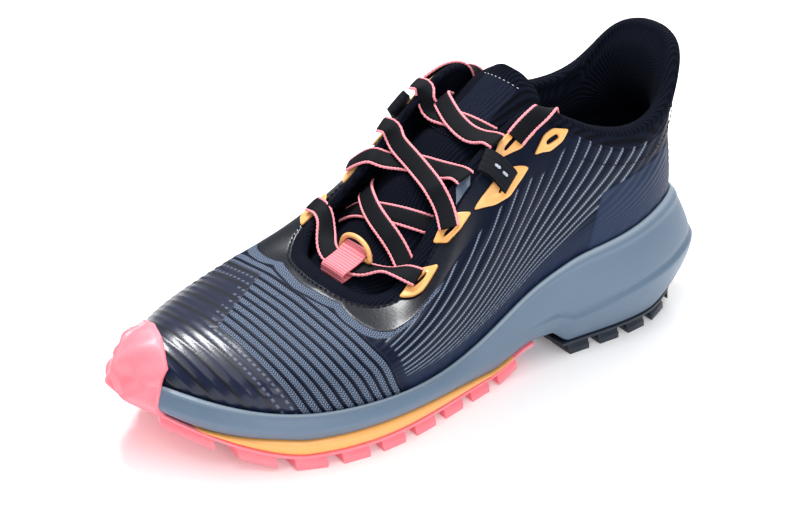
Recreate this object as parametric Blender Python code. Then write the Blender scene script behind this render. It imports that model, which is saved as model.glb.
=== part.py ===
"""Trail running shoe for a left foot.

+Z is up, the toe points to -Y and the lateral side is at +X. The origin is on the floor, under the
middle of the heel tread. "Along" is measured forwards from the back of the heel, "across" from the
centre line towards the lateral side. All curved pieces come from one closed outline of stations
(heel, lateral side, toe, medial side) and from the upper's own wall, so they fit when a size changes.
"""

import math

import bmesh
import bpy
import numpy as np

# Driving sizes, in metres
SOLE_LENGTH = 0.280
BALL_WIDTH = 0.098
HEEL_REST = 0.045
RIM_HEIGHT = 0.052
FOOTBED_HEIGHT = 0.028
TAB_HEIGHT = 0.119
COLLAR_WIDTH = 0.061
FIT = 0.0003

# Sole
LUG_HEIGHT = 0.004
TREAD_SKIN = 0.0018
INSERT_THICKNESS = 0.0056
TOE_SPRING = 0.0175
ARCH_LIFT = 0.006
HEEL_BEVEL = 0.008
HEEL_FLARE = 0.012
BOTTOM_TUCK = 0.007
RIM_EDGE = 0.0015
SIDE_STEP = 0.0011
INSOLE_THICKNESS = 0.004

# Upper and tongue
WALL = 0.0020
COLLAR_PAD = 0.0060
SWELL = 0.020
TONGUE_WIDTH = 0.060
TONGUE_PAD = 0.0060
TONGUE_DROOP = 0.018
TONGUE_OFFSET = 0.0018

# Laces, eyelets and webbing
EYESTAY_DEPTH = 0.030
PATCH_LIFT = 0.0004
PATCH_THICKNESS = 0.0008
SLOT_LENGTH = 0.0080
SLOT_WIDTH = 0.0026
LACE_WIDTH = 0.0076
LACE_THICKNESS = 0.0014
WEBBING_WIDTH = 0.0080
WEBBING_THICKNESS = 0.0009
KEEPER_WIDTH = 0.0124
KEEPER_ACROSS = 0.0025
KEEPER_FRONT = 0.6768 * SOLE_LENGTH
KEEPER_LENGTH = 0.0142
RING_HALF = 0.0086
RING_REACH = 0.0070
RING_WIRE = 0.0011
RING_BACK = 0.0119
RING_RISE = 0.0023

# Stations of the outline, from the back of the heel to the tip of the toe, as shares:
# along and split of SOLE_LENGTH, lateral and medial of BALL_WIDTH, rim of RIM_HEIGHT,
# flare of HEEL_FLARE, tuck of BOTTOM_TUCK, footbed of FOOTBED_HEIGHT, ridge of the side's height
STATION_COLUMNS = "along lateral medial rim flare tuck footbed ridge"
STATIONS = (
    (0.000, 0.000, 0.000, 1.02, 1.00, 0.75, 1.00, 0.50),
    (0.018, 0.178, 0.184, 1.03, 0.96, 0.86, 1.00, 0.50),
    (0.061, 0.302, 0.308, 1.04, 0.88, 1.00, 1.00, 0.50),
    (0.136, 0.381, 0.374, 1.00, 0.71, 0.93, 0.99, 0.46),
    (0.221, 0.398, 0.378, 0.91, 0.54, 0.79, 0.98, 0.40),
    (0.300, 0.383, 0.352, 0.85, 0.42, 0.64, 0.95, 0.32),
    (0.346, 0.372, 0.327, 0.79, 0.33, 0.50, 0.91, 0.30),
    (0.407, 0.372, 0.306, 0.68, 0.25, 0.43, 0.82, 0.34),
    (0.486, 0.403, 0.311, 0.52, 0.18, 0.36, 0.66, 0.42),
    (0.571, 0.454, 0.357, 0.41, 0.17, 0.29, 0.54, 0.50),
    (0.657, 0.505, 0.423, 0.395, 0.17, 0.29, 0.52, 0.50),
    (0.736, 0.520, 0.469, 0.413, 0.17, 0.29, 0.52, 0.50),
    (0.814, 0.480, 0.469, 0.425, 0.17, 0.29, 0.55, 0.50),
    (0.886, 0.388, 0.403, 0.47, 0.17, 0.43, 0.64, 0.50),
    (0.939, 0.255, 0.291, 0.53, 0.18, 0.57, 0.76, 0.50),
    (0.975, 0.112, 0.189, 0.58, 0.20, 0.71, 0.86, 0.50),
    (1.000, -0.061, 0.061, 0.61, 0.20, 0.71, 0.91, 0.50),
)

# The opening's edge at the same stations: along of SOLE_LENGTH, lateral and medial of COLLAR_WIDTH,
# their heights of TAB_HEIGHT. The wall leaves the rim with rise and lean and meets the edge with out
# and down, all four of SWELL. pad is the share of COLLAR_PAD
OPENING_COLUMNS = "along lateral lateral_height medial medial_height rise lean out down pad"
OPENING = (
    (0.077, 0.000, 1.000, 0.000, 1.000, 0.90, -0.15, -0.42, 1.30, 1.00),
    (0.083, 0.205, 0.980, 0.205, 0.982, 0.90, -0.13, -0.36, 1.25, 1.00),
    (0.105, 0.344, 0.915, 0.348, 0.928, 0.90, -0.05, -0.18, 1.15, 1.00),
    (0.145, 0.443, 0.807, 0.443, 0.828, 0.90, 0.02, 0.02, 1.00, 1.00),
    (0.209, 0.484, 0.755, 0.475, 0.786, 0.80, 0.05, 0.12, 0.90, 1.00),
    (0.275, 0.484, 0.777, 0.475, 0.800, 0.90, 0.08, 0.20, 0.90, 0.90),
    (0.321, 0.467, 0.819, 0.467, 0.845, 1.00, 0.10, 0.25, 0.90, 0.70),
    (0.361, 0.426, 0.866, 0.451, 0.890, 1.10, 0.10, 0.30, 0.90, 0.45),
    (0.407, 0.361, 0.895, 0.402, 0.935, 1.30, 0.15, 0.50, 0.85, 0.20),
    (0.468, 0.328, 0.811, 0.377, 0.872, 1.30, 0.20, 0.75, 0.80, 0.10),
    (0.536, 0.336, 0.676, 0.400, 0.708, 1.20, 0.20, 0.90, 0.70, 0.10),
    (0.597, 0.385, 0.508, 0.452, 0.552, 1.00, 0.20, 0.90, 0.50, 0.10),
    (0.641, 0.402, 0.418, 0.440, 0.470, 0.90, 0.20, 0.90, 0.35, 0.10),
    (0.671, 0.328, 0.399, 0.336, 0.427, 0.80, 0.20, 1.10, 0.25, 0.10),
    (0.686, 0.205, 0.407, 0.221, 0.424, 0.85, 0.12, 1.35, 0.30, 0.10),
    (0.691, 0.098, 0.415, 0.107, 0.422, 0.85, 0.10, 1.55, 0.33, 0.10),
    (0.693, 0.000, 0.418, 0.000, 0.418, 0.85, 0.10, 1.65, 0.35, 0.10),
)

SAMPLES = 3
HALF = (len(STATIONS) - 1) * SAMPLES
AROUND = 2 * HALF


# Smooth closed curves

def column(columns, rows, name):
    place = columns.split().index(name)
    return np.array([row[place] for row in rows])


def both_sides(lateral, medial):
    """Values of the lateral side, heel to toe, then of the medial side back to the heel."""
    return np.concatenate([lateral, medial[-2:0:-1]])


class ClosedCurve:
    """A smooth closed curve through one value for each station."""

    def __init__(self, values):
        self.values = np.asarray(values, float)
        count = len(self.values)
        system = 4.0 * np.eye(count) + np.roll(np.eye(count), 1, 0) + np.roll(np.eye(count), -1, 0)
        turn = np.roll(self.values, 1) - 2.0 * self.values + np.roll(self.values, -1)
        self.bend = np.linalg.solve(system, 6.0 * turn)

    def at(self, station):
        count = len(self.values)
        station = np.mod(np.asarray(station, float), count)
        low = np.floor(station).astype(int) % count
        high = (low + 1) % count
        after = station - np.floor(station)
        before = 1.0 - after
        straight = before * self.values[low] + after * self.values[high]
        curve = (before ** 3 - before) * self.bend[low] + (after ** 3 - after) * self.bend[high]
        return straight + curve / 6.0


def station_curve(name, size):
    values = column(STATION_COLUMNS, STATIONS, name) * size
    return ClosedCurve(both_sides(values, values))


def opening_curve(name, size):
    values = column(OPENING_COLUMNS, OPENING, name) * size
    return ClosedCurve(both_sides(values, values))


def opening_sides(lateral, medial, size, sign):
    one = column(OPENING_COLUMNS, OPENING, lateral) * size
    other = column(OPENING_COLUMNS, OPENING, medial) * size * sign
    return ClosedCurve(both_sides(one, other))


ALONG = station_curve("along", SOLE_LENGTH)
ACROSS = ClosedCurve(both_sides(column(STATION_COLUMNS, STATIONS, "lateral") * BALL_WIDTH,
                                column(STATION_COLUMNS, STATIONS, "medial") * -BALL_WIDTH))
RIM = station_curve("rim", RIM_HEIGHT)
FLARE = station_curve("flare", HEEL_FLARE)
TUCK = station_curve("tuck", BOTTOM_TUCK)
FOOTBED = station_curve("footbed", FOOTBED_HEIGHT)
RIDGE = station_curve("ridge", 1.0)
EDGE_ALONG = opening_curve("along", SOLE_LENGTH)
EDGE_ACROSS = opening_sides("lateral", "medial", COLLAR_WIDTH, -1.0)
EDGE_HEIGHT = opening_sides("lateral_height", "medial_height", TAB_HEIGHT, 1.0)
RISE = opening_curve("rise", SWELL)
LEAN = opening_curve("lean", SWELL)
OUT = opening_curve("out", SWELL)
DOWN = opening_curve("down", SWELL)
PAD = opening_curve("pad", COLLAR_PAD)


def ease(value, start, end):
    """0 before start, 1 after end, smooth between."""
    share = np.clip((np.asarray(value, float) - start) / (end - start), 0.0, 1.0)
    return share * share * (3.0 - 2.0 * share)


def place(along, across, height):
    """A point of the shoe in world coordinates."""
    along, across, height = np.broadcast_arrays(along, across, height)
    return np.stack([across, HEEL_REST - along, height], axis=-1).astype(float)


def plan_normal(along_curve, across_curve, station):
    """Outward direction, level, of a closed curve."""
    step = 0.02
    forth = place(along_curve.at(station + step), across_curve.at(station + step), 0.0)
    back = place(along_curve.at(station - step), across_curve.at(station - step), 0.0)
    run = forth - back
    out = np.stack([-run[..., 1], run[..., 0], 0.0 * run[..., 0]], axis=-1)
    return out / np.linalg.norm(out, axis=-1, keepdims=True)


# Levels of the sole

def ground_lift(along):
    """Height of the tread's face over the floor: toe spring and arch."""
    ball = 0.825 * SOLE_LENGTH
    toe = np.clip((along - ball) / (SOLE_LENGTH - ball), 0.0, 1.0) ** 1.5 * TOE_SPRING
    arch = (1.0 - ease(along, 0.39 * SOLE_LENGTH, 0.49 * SOLE_LENGTH)) * ARCH_LIFT
    return toe + arch


def heel_lift(along):
    """Height of the heel tread's face over the floor: the bevel at the back."""
    bevel = 0.145 * SOLE_LENGTH
    return np.clip((bevel - along) / bevel, 0.0, 1.0) ** 1.5 * HEEL_BEVEL


def insert_thickness(along):
    start = ease(along, 0.36 * SOLE_LENGTH, 0.74 * SOLE_LENGTH)
    end = 1.0 - ease(along, 0.84 * SOLE_LENGTH, 0.96 * SOLE_LENGTH)
    return INSERT_THICKNESS * start * end


def fore_skin_top(along):
    return ground_lift(along) + LUG_HEIGHT + TREAD_SKIN


def heel_skin_top(along):
    return heel_lift(along) + LUG_HEIGHT + TREAD_SKIN


def underside(along):
    """Underside of the midsole, heel block and forefoot, with the step up into the arch."""
    fore = fore_skin_top(along) + 2.0 * FIT + insert_thickness(along)
    heel = heel_skin_top(along) + FIT
    step = ease(along, 0.318 * SOLE_LENGTH, 0.362 * SOLE_LENGTH)
    return heel + (fore - heel) * step


def outline(station, inset, height):
    """A point of the sole's outline, moved inwards by inset."""
    base = place(ALONG.at(station), ACROSS.at(station), height)
    return base - plan_normal(ALONG, ACROSS, station) * np.asarray(inset)[..., None]


def foot_along(station):
    """How far along the sole the foot of the midsole's side stands."""
    return HEEL_REST - outline(station, TUCK.at(station), 0.0)[..., 1]


def side_inset(station, share):
    """How far the midsole's side stands in from the outline, from its foot (0) to its rim (1)."""
    ridge = RIDGE.at(station)
    low = np.clip(1.0 - share / ridge, 0.0, 1.0)
    high = np.clip((share - ridge) / (1.0 - ridge), 0.0, 1.0)
    strength = 1.0 - ease(ALONG.at(station), 0.30 * SOLE_LENGTH, 0.42 * SOLE_LENGTH)
    step = SIDE_STEP * strength * ease(share, ridge, ridge + 0.08) * (1.0 - high)
    return TUCK.at(station) * low ** 1.7 + FLARE.at(station) * high ** 1.3 + step


def midsole_side(station, share, lift=0.0):
    """A point on the midsole's side wall."""
    bottom = underside(foot_along(station))
    height = bottom + (RIM.at(station) - bottom) * share
    return outline(station, side_inset(station, share) - lift, height)


def cup_inset(station):
    """Inset of the inner wall of the midsole's rim."""
    return FLARE.at(station) + RIM_EDGE


# The upper's wall

def wall_curve(station, share):
    """The upper's outer face: share -1 at the footbed, 0 at the rim, 1 at the opening's edge."""
    inset = cup_inset(station) + FIT
    rim = RIM.at(station)
    foot = FOOTBED.at(station) + FIT
    height = rim + (rim - foot) * np.minimum(share, 0.0)
    start = outline(station, inset, height)
    end = place(EDGE_ALONG.at(station), EDGE_ACROSS.at(station), EDGE_HEIGHT.at(station))
    up = np.array([0.0, 0.0, 1.0])
    side = plan_normal(ALONG, ACROSS, station)
    lip = plan_normal(EDGE_ALONG, EDGE_ACROSS, station)
    first = start + RISE.at(station)[..., None] * up + LEAN.at(station)[..., None] * side
    second = end + OUT.at(station)[..., None] * lip - DOWN.at(station)[..., None] * up
    s = np.clip(share, 0.0, 1.0)[..., None]
    bent = (start * (1 - s) ** 3 + 3 * first * s * (1 - s) ** 2
            + 3 * second * s * s * (1 - s) + end * s ** 3)
    return bent


def wall_normal(station, share):
    """Outward direction of the upper's outer face."""
    round_step = 0.03
    rise_step = 0.004
    top = np.minimum(share + rise_step, 1.0)
    low = np.maximum(top - 2 * rise_step, -1.0)
    run = wall_curve(station + round_step, share) - wall_curve(station - round_step, share)
    rise = wall_curve(station, top) - wall_curve(station, low)
    out = np.cross(rise, run)
    return out / np.linalg.norm(out, axis=-1, keepdims=True)


def wall_point(station, share, lift=0.0):
    """A point on the upper, lifted off its outer face, or sunk into it when lift is negative."""
    station, share, lift = np.broadcast_arrays(
        np.asarray(station, float), np.asarray(share, float), np.asarray(lift, float))
    return wall_curve(station, share) + wall_normal(station, share) * lift[..., None]


def wall_thickness(station, share):
    padded = ease(share, 0.40, 0.75) * (1.0 - 0.3 * ease(share, 0.9, 1.0))
    return WALL + PAD.at(station) * padded


def crown_point(station, turn, lift=0.0):
    """A point of the rounded top edge: turn 0 at the outer face, 0.5 on top, 1 at the inner face."""
    level = np.zeros_like(np.asarray(station, float)) + 1.0
    out = wall_normal(station, level)
    rise = wall_curve(station, level) - wall_curve(station, level - 0.02)
    rise /= np.linalg.norm(rise, axis=-1, keepdims=True)
    half = 0.5 * wall_thickness(station, level)[..., None]
    around = out * math.cos(math.pi * turn) + rise * math.sin(math.pi * turn)
    return wall_curve(station, level) - out * half + around * (half + lift)


def edge_station(side, along):
    """Station of the opening's edge at a place along it; side 1 is lateral, -1 medial."""
    last = len(STATIONS) - 1.0
    stations = np.linspace(1.0, last, 800)
    found = float(np.interp(along, EDGE_ALONG.at(stations), stations))
    return found if side > 0 else 2.0 * last - found


def share_below(station, drop):
    """Share of the wall at a distance down its face from the opening's edge."""
    shares = np.linspace(1.0, 0.0, 120)
    run = wall_curve(np.full(len(shares), station), shares)
    steps = np.linalg.norm(np.diff(run, axis=0), axis=1)
    return float(np.interp(drop, np.concatenate([[0.0], np.cumsum(steps)]), shares))


def quarter_point(side, along, drop, lift):
    station = edge_station(side, along)
    return wall_point(station, share_below(station, drop), lift)


# Meshes

def material(name, colour, roughness, metallic=0.0):
    finish = bpy.data.materials.new(name)
    finish.use_nodes = True
    shader = finish.node_tree.nodes["Principled BSDF"]
    shader.inputs["Base Color"].default_value = (*colour, 1.0)
    shader.inputs["Roughness"].default_value = roughness
    shader.inputs["Metallic"].default_value = metallic
    return finish


def solid(name, points, faces, finish):
    """One closed object whose faces point outwards."""
    mesh = bpy.data.meshes.new(name)
    mesh.from_pydata([tuple(p) for p in points], [], faces)
    work = bmesh.new()
    work.from_mesh(mesh)
    bmesh.ops.recalc_face_normals(work, faces=work.faces)
    work.to_mesh(mesh)
    work.free()
    mesh.materials.append(finish)
    mesh.shade_smooth()
    mesh.set_sharp_from_angle(angle=math.radians(40))
    made = bpy.data.objects.new(name, mesh)
    bpy.context.scene.collection.objects.link(made)
    return made


def split(a, b, c, d):
    """Two triangles of a quad, cut from its first corner so that neighbouring skins run parallel."""
    return [(a, b, c), (a, c, d)]


def ring_faces(ring_count, size, closed_rings):
    """Faces between rings that follow one another, each a closed loop."""
    faces = []
    last = ring_count if closed_rings else ring_count - 1
    for ring in range(last):
        upper = (ring + 1) % ring_count
        for i in range(size):
            j = (i + 1) % size
            faces += split(ring * size + i, ring * size + j, upper * size + j, upper * size + i)
    return faces


def ladder_faces(one, other, base):
    """A cap between two chains of the same loop, rung by rung."""
    faces = []
    for k in range(len(one) - 1):
        for corners in split(one[k], one[k + 1], other[k + 1], other[k]):
            if len(set(corners)) == 3:
                faces.append(tuple(corner + base for corner in corners))
    return faces


def capped_rings(name, rings, one, other, finish):
    """A solid through closed loops, capped at the first and the last."""
    size = len(rings[0])
    faces = ring_faces(len(rings), size, False)
    faces += ladder_faces(one, other, 0)
    faces += ladder_faces(one, other, size * (len(rings) - 1))
    return solid(name, np.concatenate(rings), faces, finish)


def closed_rings(name, rings, finish):
    """A hollow solid whose last loop joins its first."""
    size = len(rings[0])
    return solid(name, np.concatenate(rings), ring_faces(len(rings), size, True), finish)


def sheet_solid(name, outer, inner, finish):
    """A solid between two grids of points with the same rows and columns."""
    rows, columns = outer.shape[:2]
    count = rows * columns
    faces = []
    for r in range(rows - 1):
        for c in range(columns - 1):
            a = r * columns + c
            for corners in split(a, a + 1, a + columns + 1, a + columns):
                faces.append(corners)
                faces.append(tuple(count + k for k in reversed(corners)))
    border = [c for c in range(columns)]
    border += [r * columns + columns - 1 for r in range(1, rows)]
    border += [(rows - 1) * columns + c for c in range(columns - 2, -1, -1)]
    border += [r * columns for r in range(rows - 2, 0, -1)]
    for k, a in enumerate(border):
        b = border[(k + 1) % len(border)]
        faces.append((a, b, count + b, count + a))
    points = np.concatenate([outer.reshape(-1, 3), inner.reshape(-1, 3)])
    return solid(name, points, faces, finish)


def triangulate(mesh):
    work = bmesh.new()
    work.from_mesh(mesh)
    bmesh.ops.triangulate(work, faces=work.faces)
    work.to_mesh(mesh)
    work.free()


def join(body, extras):
    """Fuses extras into body and applies it, so that one closed solid is left."""
    triangulate(body.data)
    for extra in extras:
        triangulate(extra.data)
        union = body.modifiers.new("Join", "BOOLEAN")
        union.operation = "UNION"
        union.solver = "MANIFOLD"
        union.object = extra
        bpy.context.view_layer.update()
        fused = bpy.data.meshes.new_from_object(body.evaluated_get(bpy.context.evaluated_depsgraph_get()))
        body.modifiers.clear()
        body.data = fused
        bpy.data.objects.remove(extra)
    return body


def plan_loop(first, last):
    """Stations of a loop between two places of the outline, with its two chains."""
    lateral = list(range(first, last + 1))
    medial = [AROUND - k for k in range(last, first - 1, -1)]
    if last == HALF:
        medial = medial[1:]
    if first == 0:
        medial = medial[:-1]
    loop = lateral + medial
    one = list(range(len(lateral)))
    other = []
    for k in lateral:
        twin = (AROUND - k) % AROUND
        other.append(loop.index(k if k in (0, HALF) else twin))
    return np.array(loop) / SAMPLES, one, other


# Lugs

def lug(name, corners, skin_level, ground_level, finish):
    """A tapered block: corners are (along, across at the floor, across at the skin) in order."""
    root = 0.5 * TREAD_SKIN
    low = [place(a, foot, ground_level(a)) for a, foot, _ in corners]
    high = [place(a, head, skin_level(a) - TREAD_SKIN + root) for a, _, head in corners]
    count = len(corners)
    faces = [tuple(range(count)), tuple(range(count, 2 * count))]
    for k in range(count):
        n = (k + 1) % count
        faces.append((k, n, count + n, count + k))
    return solid(name, np.array(low + high), faces, finish)


LUG_LENGTH = 0.0118
LUG_WIDTH = 0.0115
LUG_PITCH = 0.0172
LUG_FLARE = 0.0020
CHEVRON_ARM = 0.0078
CHEVRON_POINT = 0.0072
LUG_GAP = 0.0011


def edge_at(along, side):
    """Half width of the tread's skin at a place along it."""
    stations = np.linspace(0.0, HALF / SAMPLES, 400)
    if side < 0:
        stations = 2 * HALF / SAMPLES - stations
    rim = outline(stations, TUCK.at(stations), 0.0)
    order = np.argsort(HEEL_REST - rim[:, 1])
    return abs(float(np.interp(along, (HEEL_REST - rim[:, 1])[order], rim[order, 0])))


def edge_lug(along, side, skin_level, ground_level, finish):
    half = 0.5 * LUG_LENGTH
    front = edge_at(along + half, side)
    back = edge_at(along - half, side)
    inner = 0.5 * (front + back) - LUG_WIDTH
    sunk = 0.0006
    corners = (
        (along - half, side * (back + LUG_FLARE), side * (back - sunk)),
        (along + half, side * (front + LUG_FLARE), side * (front - sunk)),
        (along + 0.8 * half, side * inner, side * (inner - sunk)),
        (along - 0.8 * half, side * inner, side * (inner - sunk)),
    )
    return lug("edge_lug", corners, skin_level, ground_level, finish)


def chevron_lug(along, across, room, facing, skin_level, ground_level, finish):
    """An arrowhead; facing 1 points to the toe, -1 to the heel."""
    arm = min(CHEVRON_ARM, room)
    point = facing * CHEVRON_POINT
    corners = (
        (along - 0.6 * point, across - arm, across - arm),
        (along + 0.5 * point, across, across),
        (along - 0.6 * point, across + arm, across + arm),
        (along + 0.2 * point, across + arm, across + arm),
        (along + 1.2 * point, across, across),
        (along + 0.2 * point, across - arm, across - arm),
    )
    return lug("chevron_lug", corners, skin_level, ground_level, finish)


# Pieces

def side_shares(station):
    """Heights of the midsole side's rings: foot, rounding, ridge, the step over it and the rim."""
    ridge = RIDGE.at(station)
    shares = [0.0 * ridge, 0.16 * ridge, 0.5 * ridge, ridge, ridge + 0.08]
    return shares + [ridge + 0.55 * (1.0 - ridge), 1.0 + 0.0 * ridge]


def make_midsole():
    loop, one, other = plan_loop(0, HALF)
    rings = [midsole_side(loop, share) for share in side_shares(loop)]
    rings.append(outline(loop, cup_inset(loop), RIM.at(loop)))
    rings.append(outline(loop, cup_inset(loop), FOOTBED.at(loop)))
    foam = material("slate_foam", (0.19, 0.28, 0.38), 0.55)
    return capped_rings("midsole", rings, one, other, foam)


def make_insole():
    loop, one, other = plan_loop(0, HALF)
    inset = cup_inset(loop) + FIT + WALL + 2 * FIT
    base = FOOTBED.at(loop) + FIT
    rings = [outline(loop, inset, base), outline(loop, inset, base + INSOLE_THICKNESS)]
    return capped_rings("insole", rings, one, other, material("sockliner", (0.02, 0.03, 0.06), 0.9))


def make_upper():
    loop = plan_loop(0, HALF)[0]
    level = np.zeros_like(loop)
    outer_shares = (-1.0, 0.0, 0.10, 0.22, 0.35, 0.49, 0.63, 0.77, 0.90, 1.0)
    inner_shares = (0.88, 0.72, 0.52, 0.30, 0.10, 0.0, -1.0)
    rings = [wall_point(loop, level + share) for share in outer_shares]
    rings += [crown_point(loop, turn) for turn in (1.0 / 3.0, 2.0 / 3.0, 1.0)]
    for share in inner_shares:
        rings.append(wall_point(loop, level + share, -wall_thickness(loop, level + share)))
    return closed_rings("upper", rings, material("navy_mesh", (0.02, 0.035, 0.07), 0.7))


# The tongue's sections from its foot under the vamp to its top: along of SOLE_LENGTH,
# height of TAB_HEIGHT, half width of TONGUE_WIDTH, pad of TONGUE_PAD, fall of its edges of TONGUE_DROOP
TONGUE_COLUMNS = "along height half pad droop"
TONGUE = (
    (0.770, 0.361, 0.300, 0.45, 0.18),
    (0.735, 0.380, 0.400, 0.55, 0.24),
    (0.690, 0.392, 0.450, 0.70, 0.30),
    (0.640, 0.438, 0.455, 0.90, 0.40),
    (0.585, 0.546, 0.440, 1.00, 0.50),
    (0.530, 0.690, 0.420, 1.00, 0.52),
    (0.475, 0.800, 0.405, 1.00, 0.56),
    (0.430, 0.878, 0.370, 1.00, 0.52),
    (0.400, 0.933, 0.340, 1.00, 0.46),
    (0.382, 0.970, 0.305, 0.85, 0.36),
    (0.376, 0.990, 0.200, 0.55, 0.16),
)


def tongue_column(name, size):
    return column(TONGUE_COLUMNS, TONGUE, name) * size


def tongue_frames():
    """The tongue's spine, and the direction that its face looks in at each section."""
    spine = place(tongue_column("along", SOLE_LENGTH), -TONGUE_OFFSET, tongue_column("height", TAB_HEIGHT))
    slope = np.gradient(spine, axis=0)
    face = np.cross([1.0, 0.0, 0.0], slope)
    face *= np.sign(face[:, 2:3])
    return spine, face / np.linalg.norm(face, axis=1, keepdims=True)


def make_tongue():
    spine, face = tongue_frames()
    halves = tongue_column("half", TONGUE_WIDTH)
    pads = tongue_column("pad", TONGUE_PAD)
    droops = tongue_column("droop", TONGUE_DROOP)
    shares = np.linspace(-1.0, 1.0, 11)
    rings = []
    for k, half in enumerate(halves):
        top = [spine[k] + np.array([share * half, 0.0, 0.0]) - face[k] * droops[k] * share ** 2
               for share in shares]
        bottom = [spot - face[k] * pads[k] * (1.0 - 0.75 * abs(share) ** 3)
                  for spot, share in zip(top, shares)]
        rings.append(np.array(top + bottom[::-1]))
    count = len(shares)
    one = list(range(count))
    other = [2 * count - 1 - k for k in range(count)]
    return capped_rings("tongue", rings, one, other, material("tongue_knit", (0.008, 0.012, 0.025), 0.85))


def skin_slab(name, first, last, proud, bottom_level, top_level, finish):
    """A layer under the midsole between two places of the outline."""
    loop, one, other = plan_loop(first, last)
    along = foot_along(loop)
    inset = TUCK.at(loop) - proud
    rings = [outline(loop, inset, bottom_level(along)), outline(loop, inset, top_level(along))]
    return capped_rings(name, rings, one, other, finish)


def nearest_station(share):
    """Place of the outline at a share of the sole's length."""
    return int(np.argmin(abs(ALONG.at(np.arange(HALF + 1) / SAMPLES) - share * SOLE_LENGTH)))


INSERT_FROM = 0.44
INSERT_TO = 0.945
FORE_FROM = 0.395
HEEL_TO = 0.335


def make_forefoot_insert():
    peach = material("peach_band", (0.95, 0.60, 0.24), 0.5)
    return skin_slab(
        "forefoot_insert", nearest_station(INSERT_FROM), nearest_station(INSERT_TO), 0.0006,
        lambda along: fore_skin_top(along) + FIT,
        lambda along: fore_skin_top(along) + FIT + insert_thickness(along), peach)


# Rubber that turns up over the foam, counted in samples of the outline

BUMPER_FROM = 45
BUMPER_TO = 53
BUMPER_WALL = 0.0022
BUMPER_REACH = 0.34
GUARD_HALF = 4
GUARD_WALL = 0.0012
GUARD_RINGS = 4
TURN_ROOT = 0.003


def turned_up(stations, skin_level, rings, wall):
    """Inner and outer rows of rubber from inside the tread's skin up the midsole's side."""
    root = TUCK.at(stations) + TURN_ROOT
    buried = skin_level(HEEL_REST - outline(stations, root, 0.0)[:, 1])
    skin = skin_level(foot_along(stations))
    inner = [outline(stations, root, buried - 0.25 * TREAD_SKIN)]
    outer = [outline(stations, root, buried - 0.75 * TREAD_SKIN)]
    for share in side_shares(stations)[:rings]:
        inner.append(midsole_side(stations, share, FIT))
        outer.append(midsole_side(stations, share, FIT + wall))
    outer[1][:, 2] = skin - 0.5 * TREAD_SKIN
    return inner, outer


def bumper(finish):
    """The forefoot rubber where it turns up over the toe."""
    stations = np.arange(BUMPER_FROM, BUMPER_TO + 1) / SAMPLES
    middle = 0.5 * (BUMPER_FROM + BUMPER_TO) / SAMPLES
    off = abs(stations - middle) / (0.5 * (BUMPER_TO - BUMPER_FROM) / SAMPLES)
    reach = BUMPER_REACH * (1.0 - 0.6 * off ** 2.5)
    inner, outer = turned_up(stations, fore_skin_top, len(side_shares(stations)), BUMPER_WALL)
    for step in (0.25, 0.5, 0.75, 1.0):
        lift = RIM_EDGE + FIT
        thick = BUMPER_WALL * (1.0 - 0.45 * step)
        inner.append(wall_point(stations, reach * step, lift))
        outer.append(wall_point(stations, reach * step, lift + thick))
    return sheet_solid("bumper", np.array(outer), np.array(inner), finish)


def heel_guard(finish):
    """The heel rubber where it turns up over the back of the foam."""
    stations = np.arange(-GUARD_HALF, GUARD_HALF + 1) / SAMPLES
    inner, outer = turned_up(stations, heel_skin_top, GUARD_RINGS, GUARD_WALL)
    return sheet_solid("heel_guard", np.array(outer), np.array(inner), finish)


def make_outsole_forefoot():
    coral = material("coral_rubber", (1.0, 0.28, 0.33), 0.45)
    body = skin_slab("outsole_forefoot", nearest_station(FORE_FROM), HALF, 0.0,
                     lambda along: fore_skin_top(along) - TREAD_SKIN, fore_skin_top, coral)
    extras = [bumper(coral)]
    along = 0.452 * SOLE_LENGTH
    while along < 0.955 * SOLE_LENGTH:
        for side in (-1, 1):
            extras.append(edge_lug(along, side, fore_skin_top, ground_lift, coral))
            free = edge_at(along, side) - LUG_WIDTH
            if free > LUG_WIDTH:
                extras.append(chevron_lug(along, side * 0.5 * free, 0.5 * free - LUG_GAP, 1,
                                          fore_skin_top, ground_lift, coral))
        along += LUG_PITCH
    return join(body, extras)


def make_outsole_heel():
    rubber = material("navy_rubber", (0.02, 0.035, 0.06), 0.5)
    body = skin_slab("outsole_heel", 0, nearest_station(HEEL_TO), 0.0,
                     lambda along: heel_skin_top(along) - TREAD_SKIN, heel_skin_top, rubber)
    extras = [heel_guard(rubber)]
    along = 0.30 * SOLE_LENGTH
    while along > 0.05 * SOLE_LENGTH:
        for side in (-1, 1):
            extras.append(edge_lug(along, side, heel_skin_top, heel_lift, rubber))
        free = min(edge_at(along, 1), edge_at(along, -1)) - LUG_WIDTH
        extras.append(chevron_lug(along, 0.0, free - LUG_GAP, -1, heel_skin_top, heel_lift, rubber))
        along -= LUG_PITCH
    return join(body, extras)


# Points above the shoe's skins

def tongue_point(along, place_across, rise):
    """A point over the tongue's face and the direction that the face looks in there."""
    rows = tongue_column("along", SOLE_LENGTH)[::-1]
    spine, face = tongue_frames()
    middle = np.array([np.interp(along, rows, spine[::-1, k]) for k in range(3)])
    up = np.array([np.interp(along, rows, face[::-1, k]) for k in range(3)])
    half = np.interp(along, rows, tongue_column("half", TONGUE_WIDTH)[::-1])
    fall = np.interp(along, rows, tongue_column("droop", TONGUE_DROOP)[::-1])
    share = place_across / half
    facing = up + np.array([2.0 * fall * share / half, 0.0, 0.0])
    facing /= np.linalg.norm(facing)
    spot = middle + np.array([place_across, 0.0, 0.0]) - up * fall * share * share
    return spot + facing * rise, facing


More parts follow.
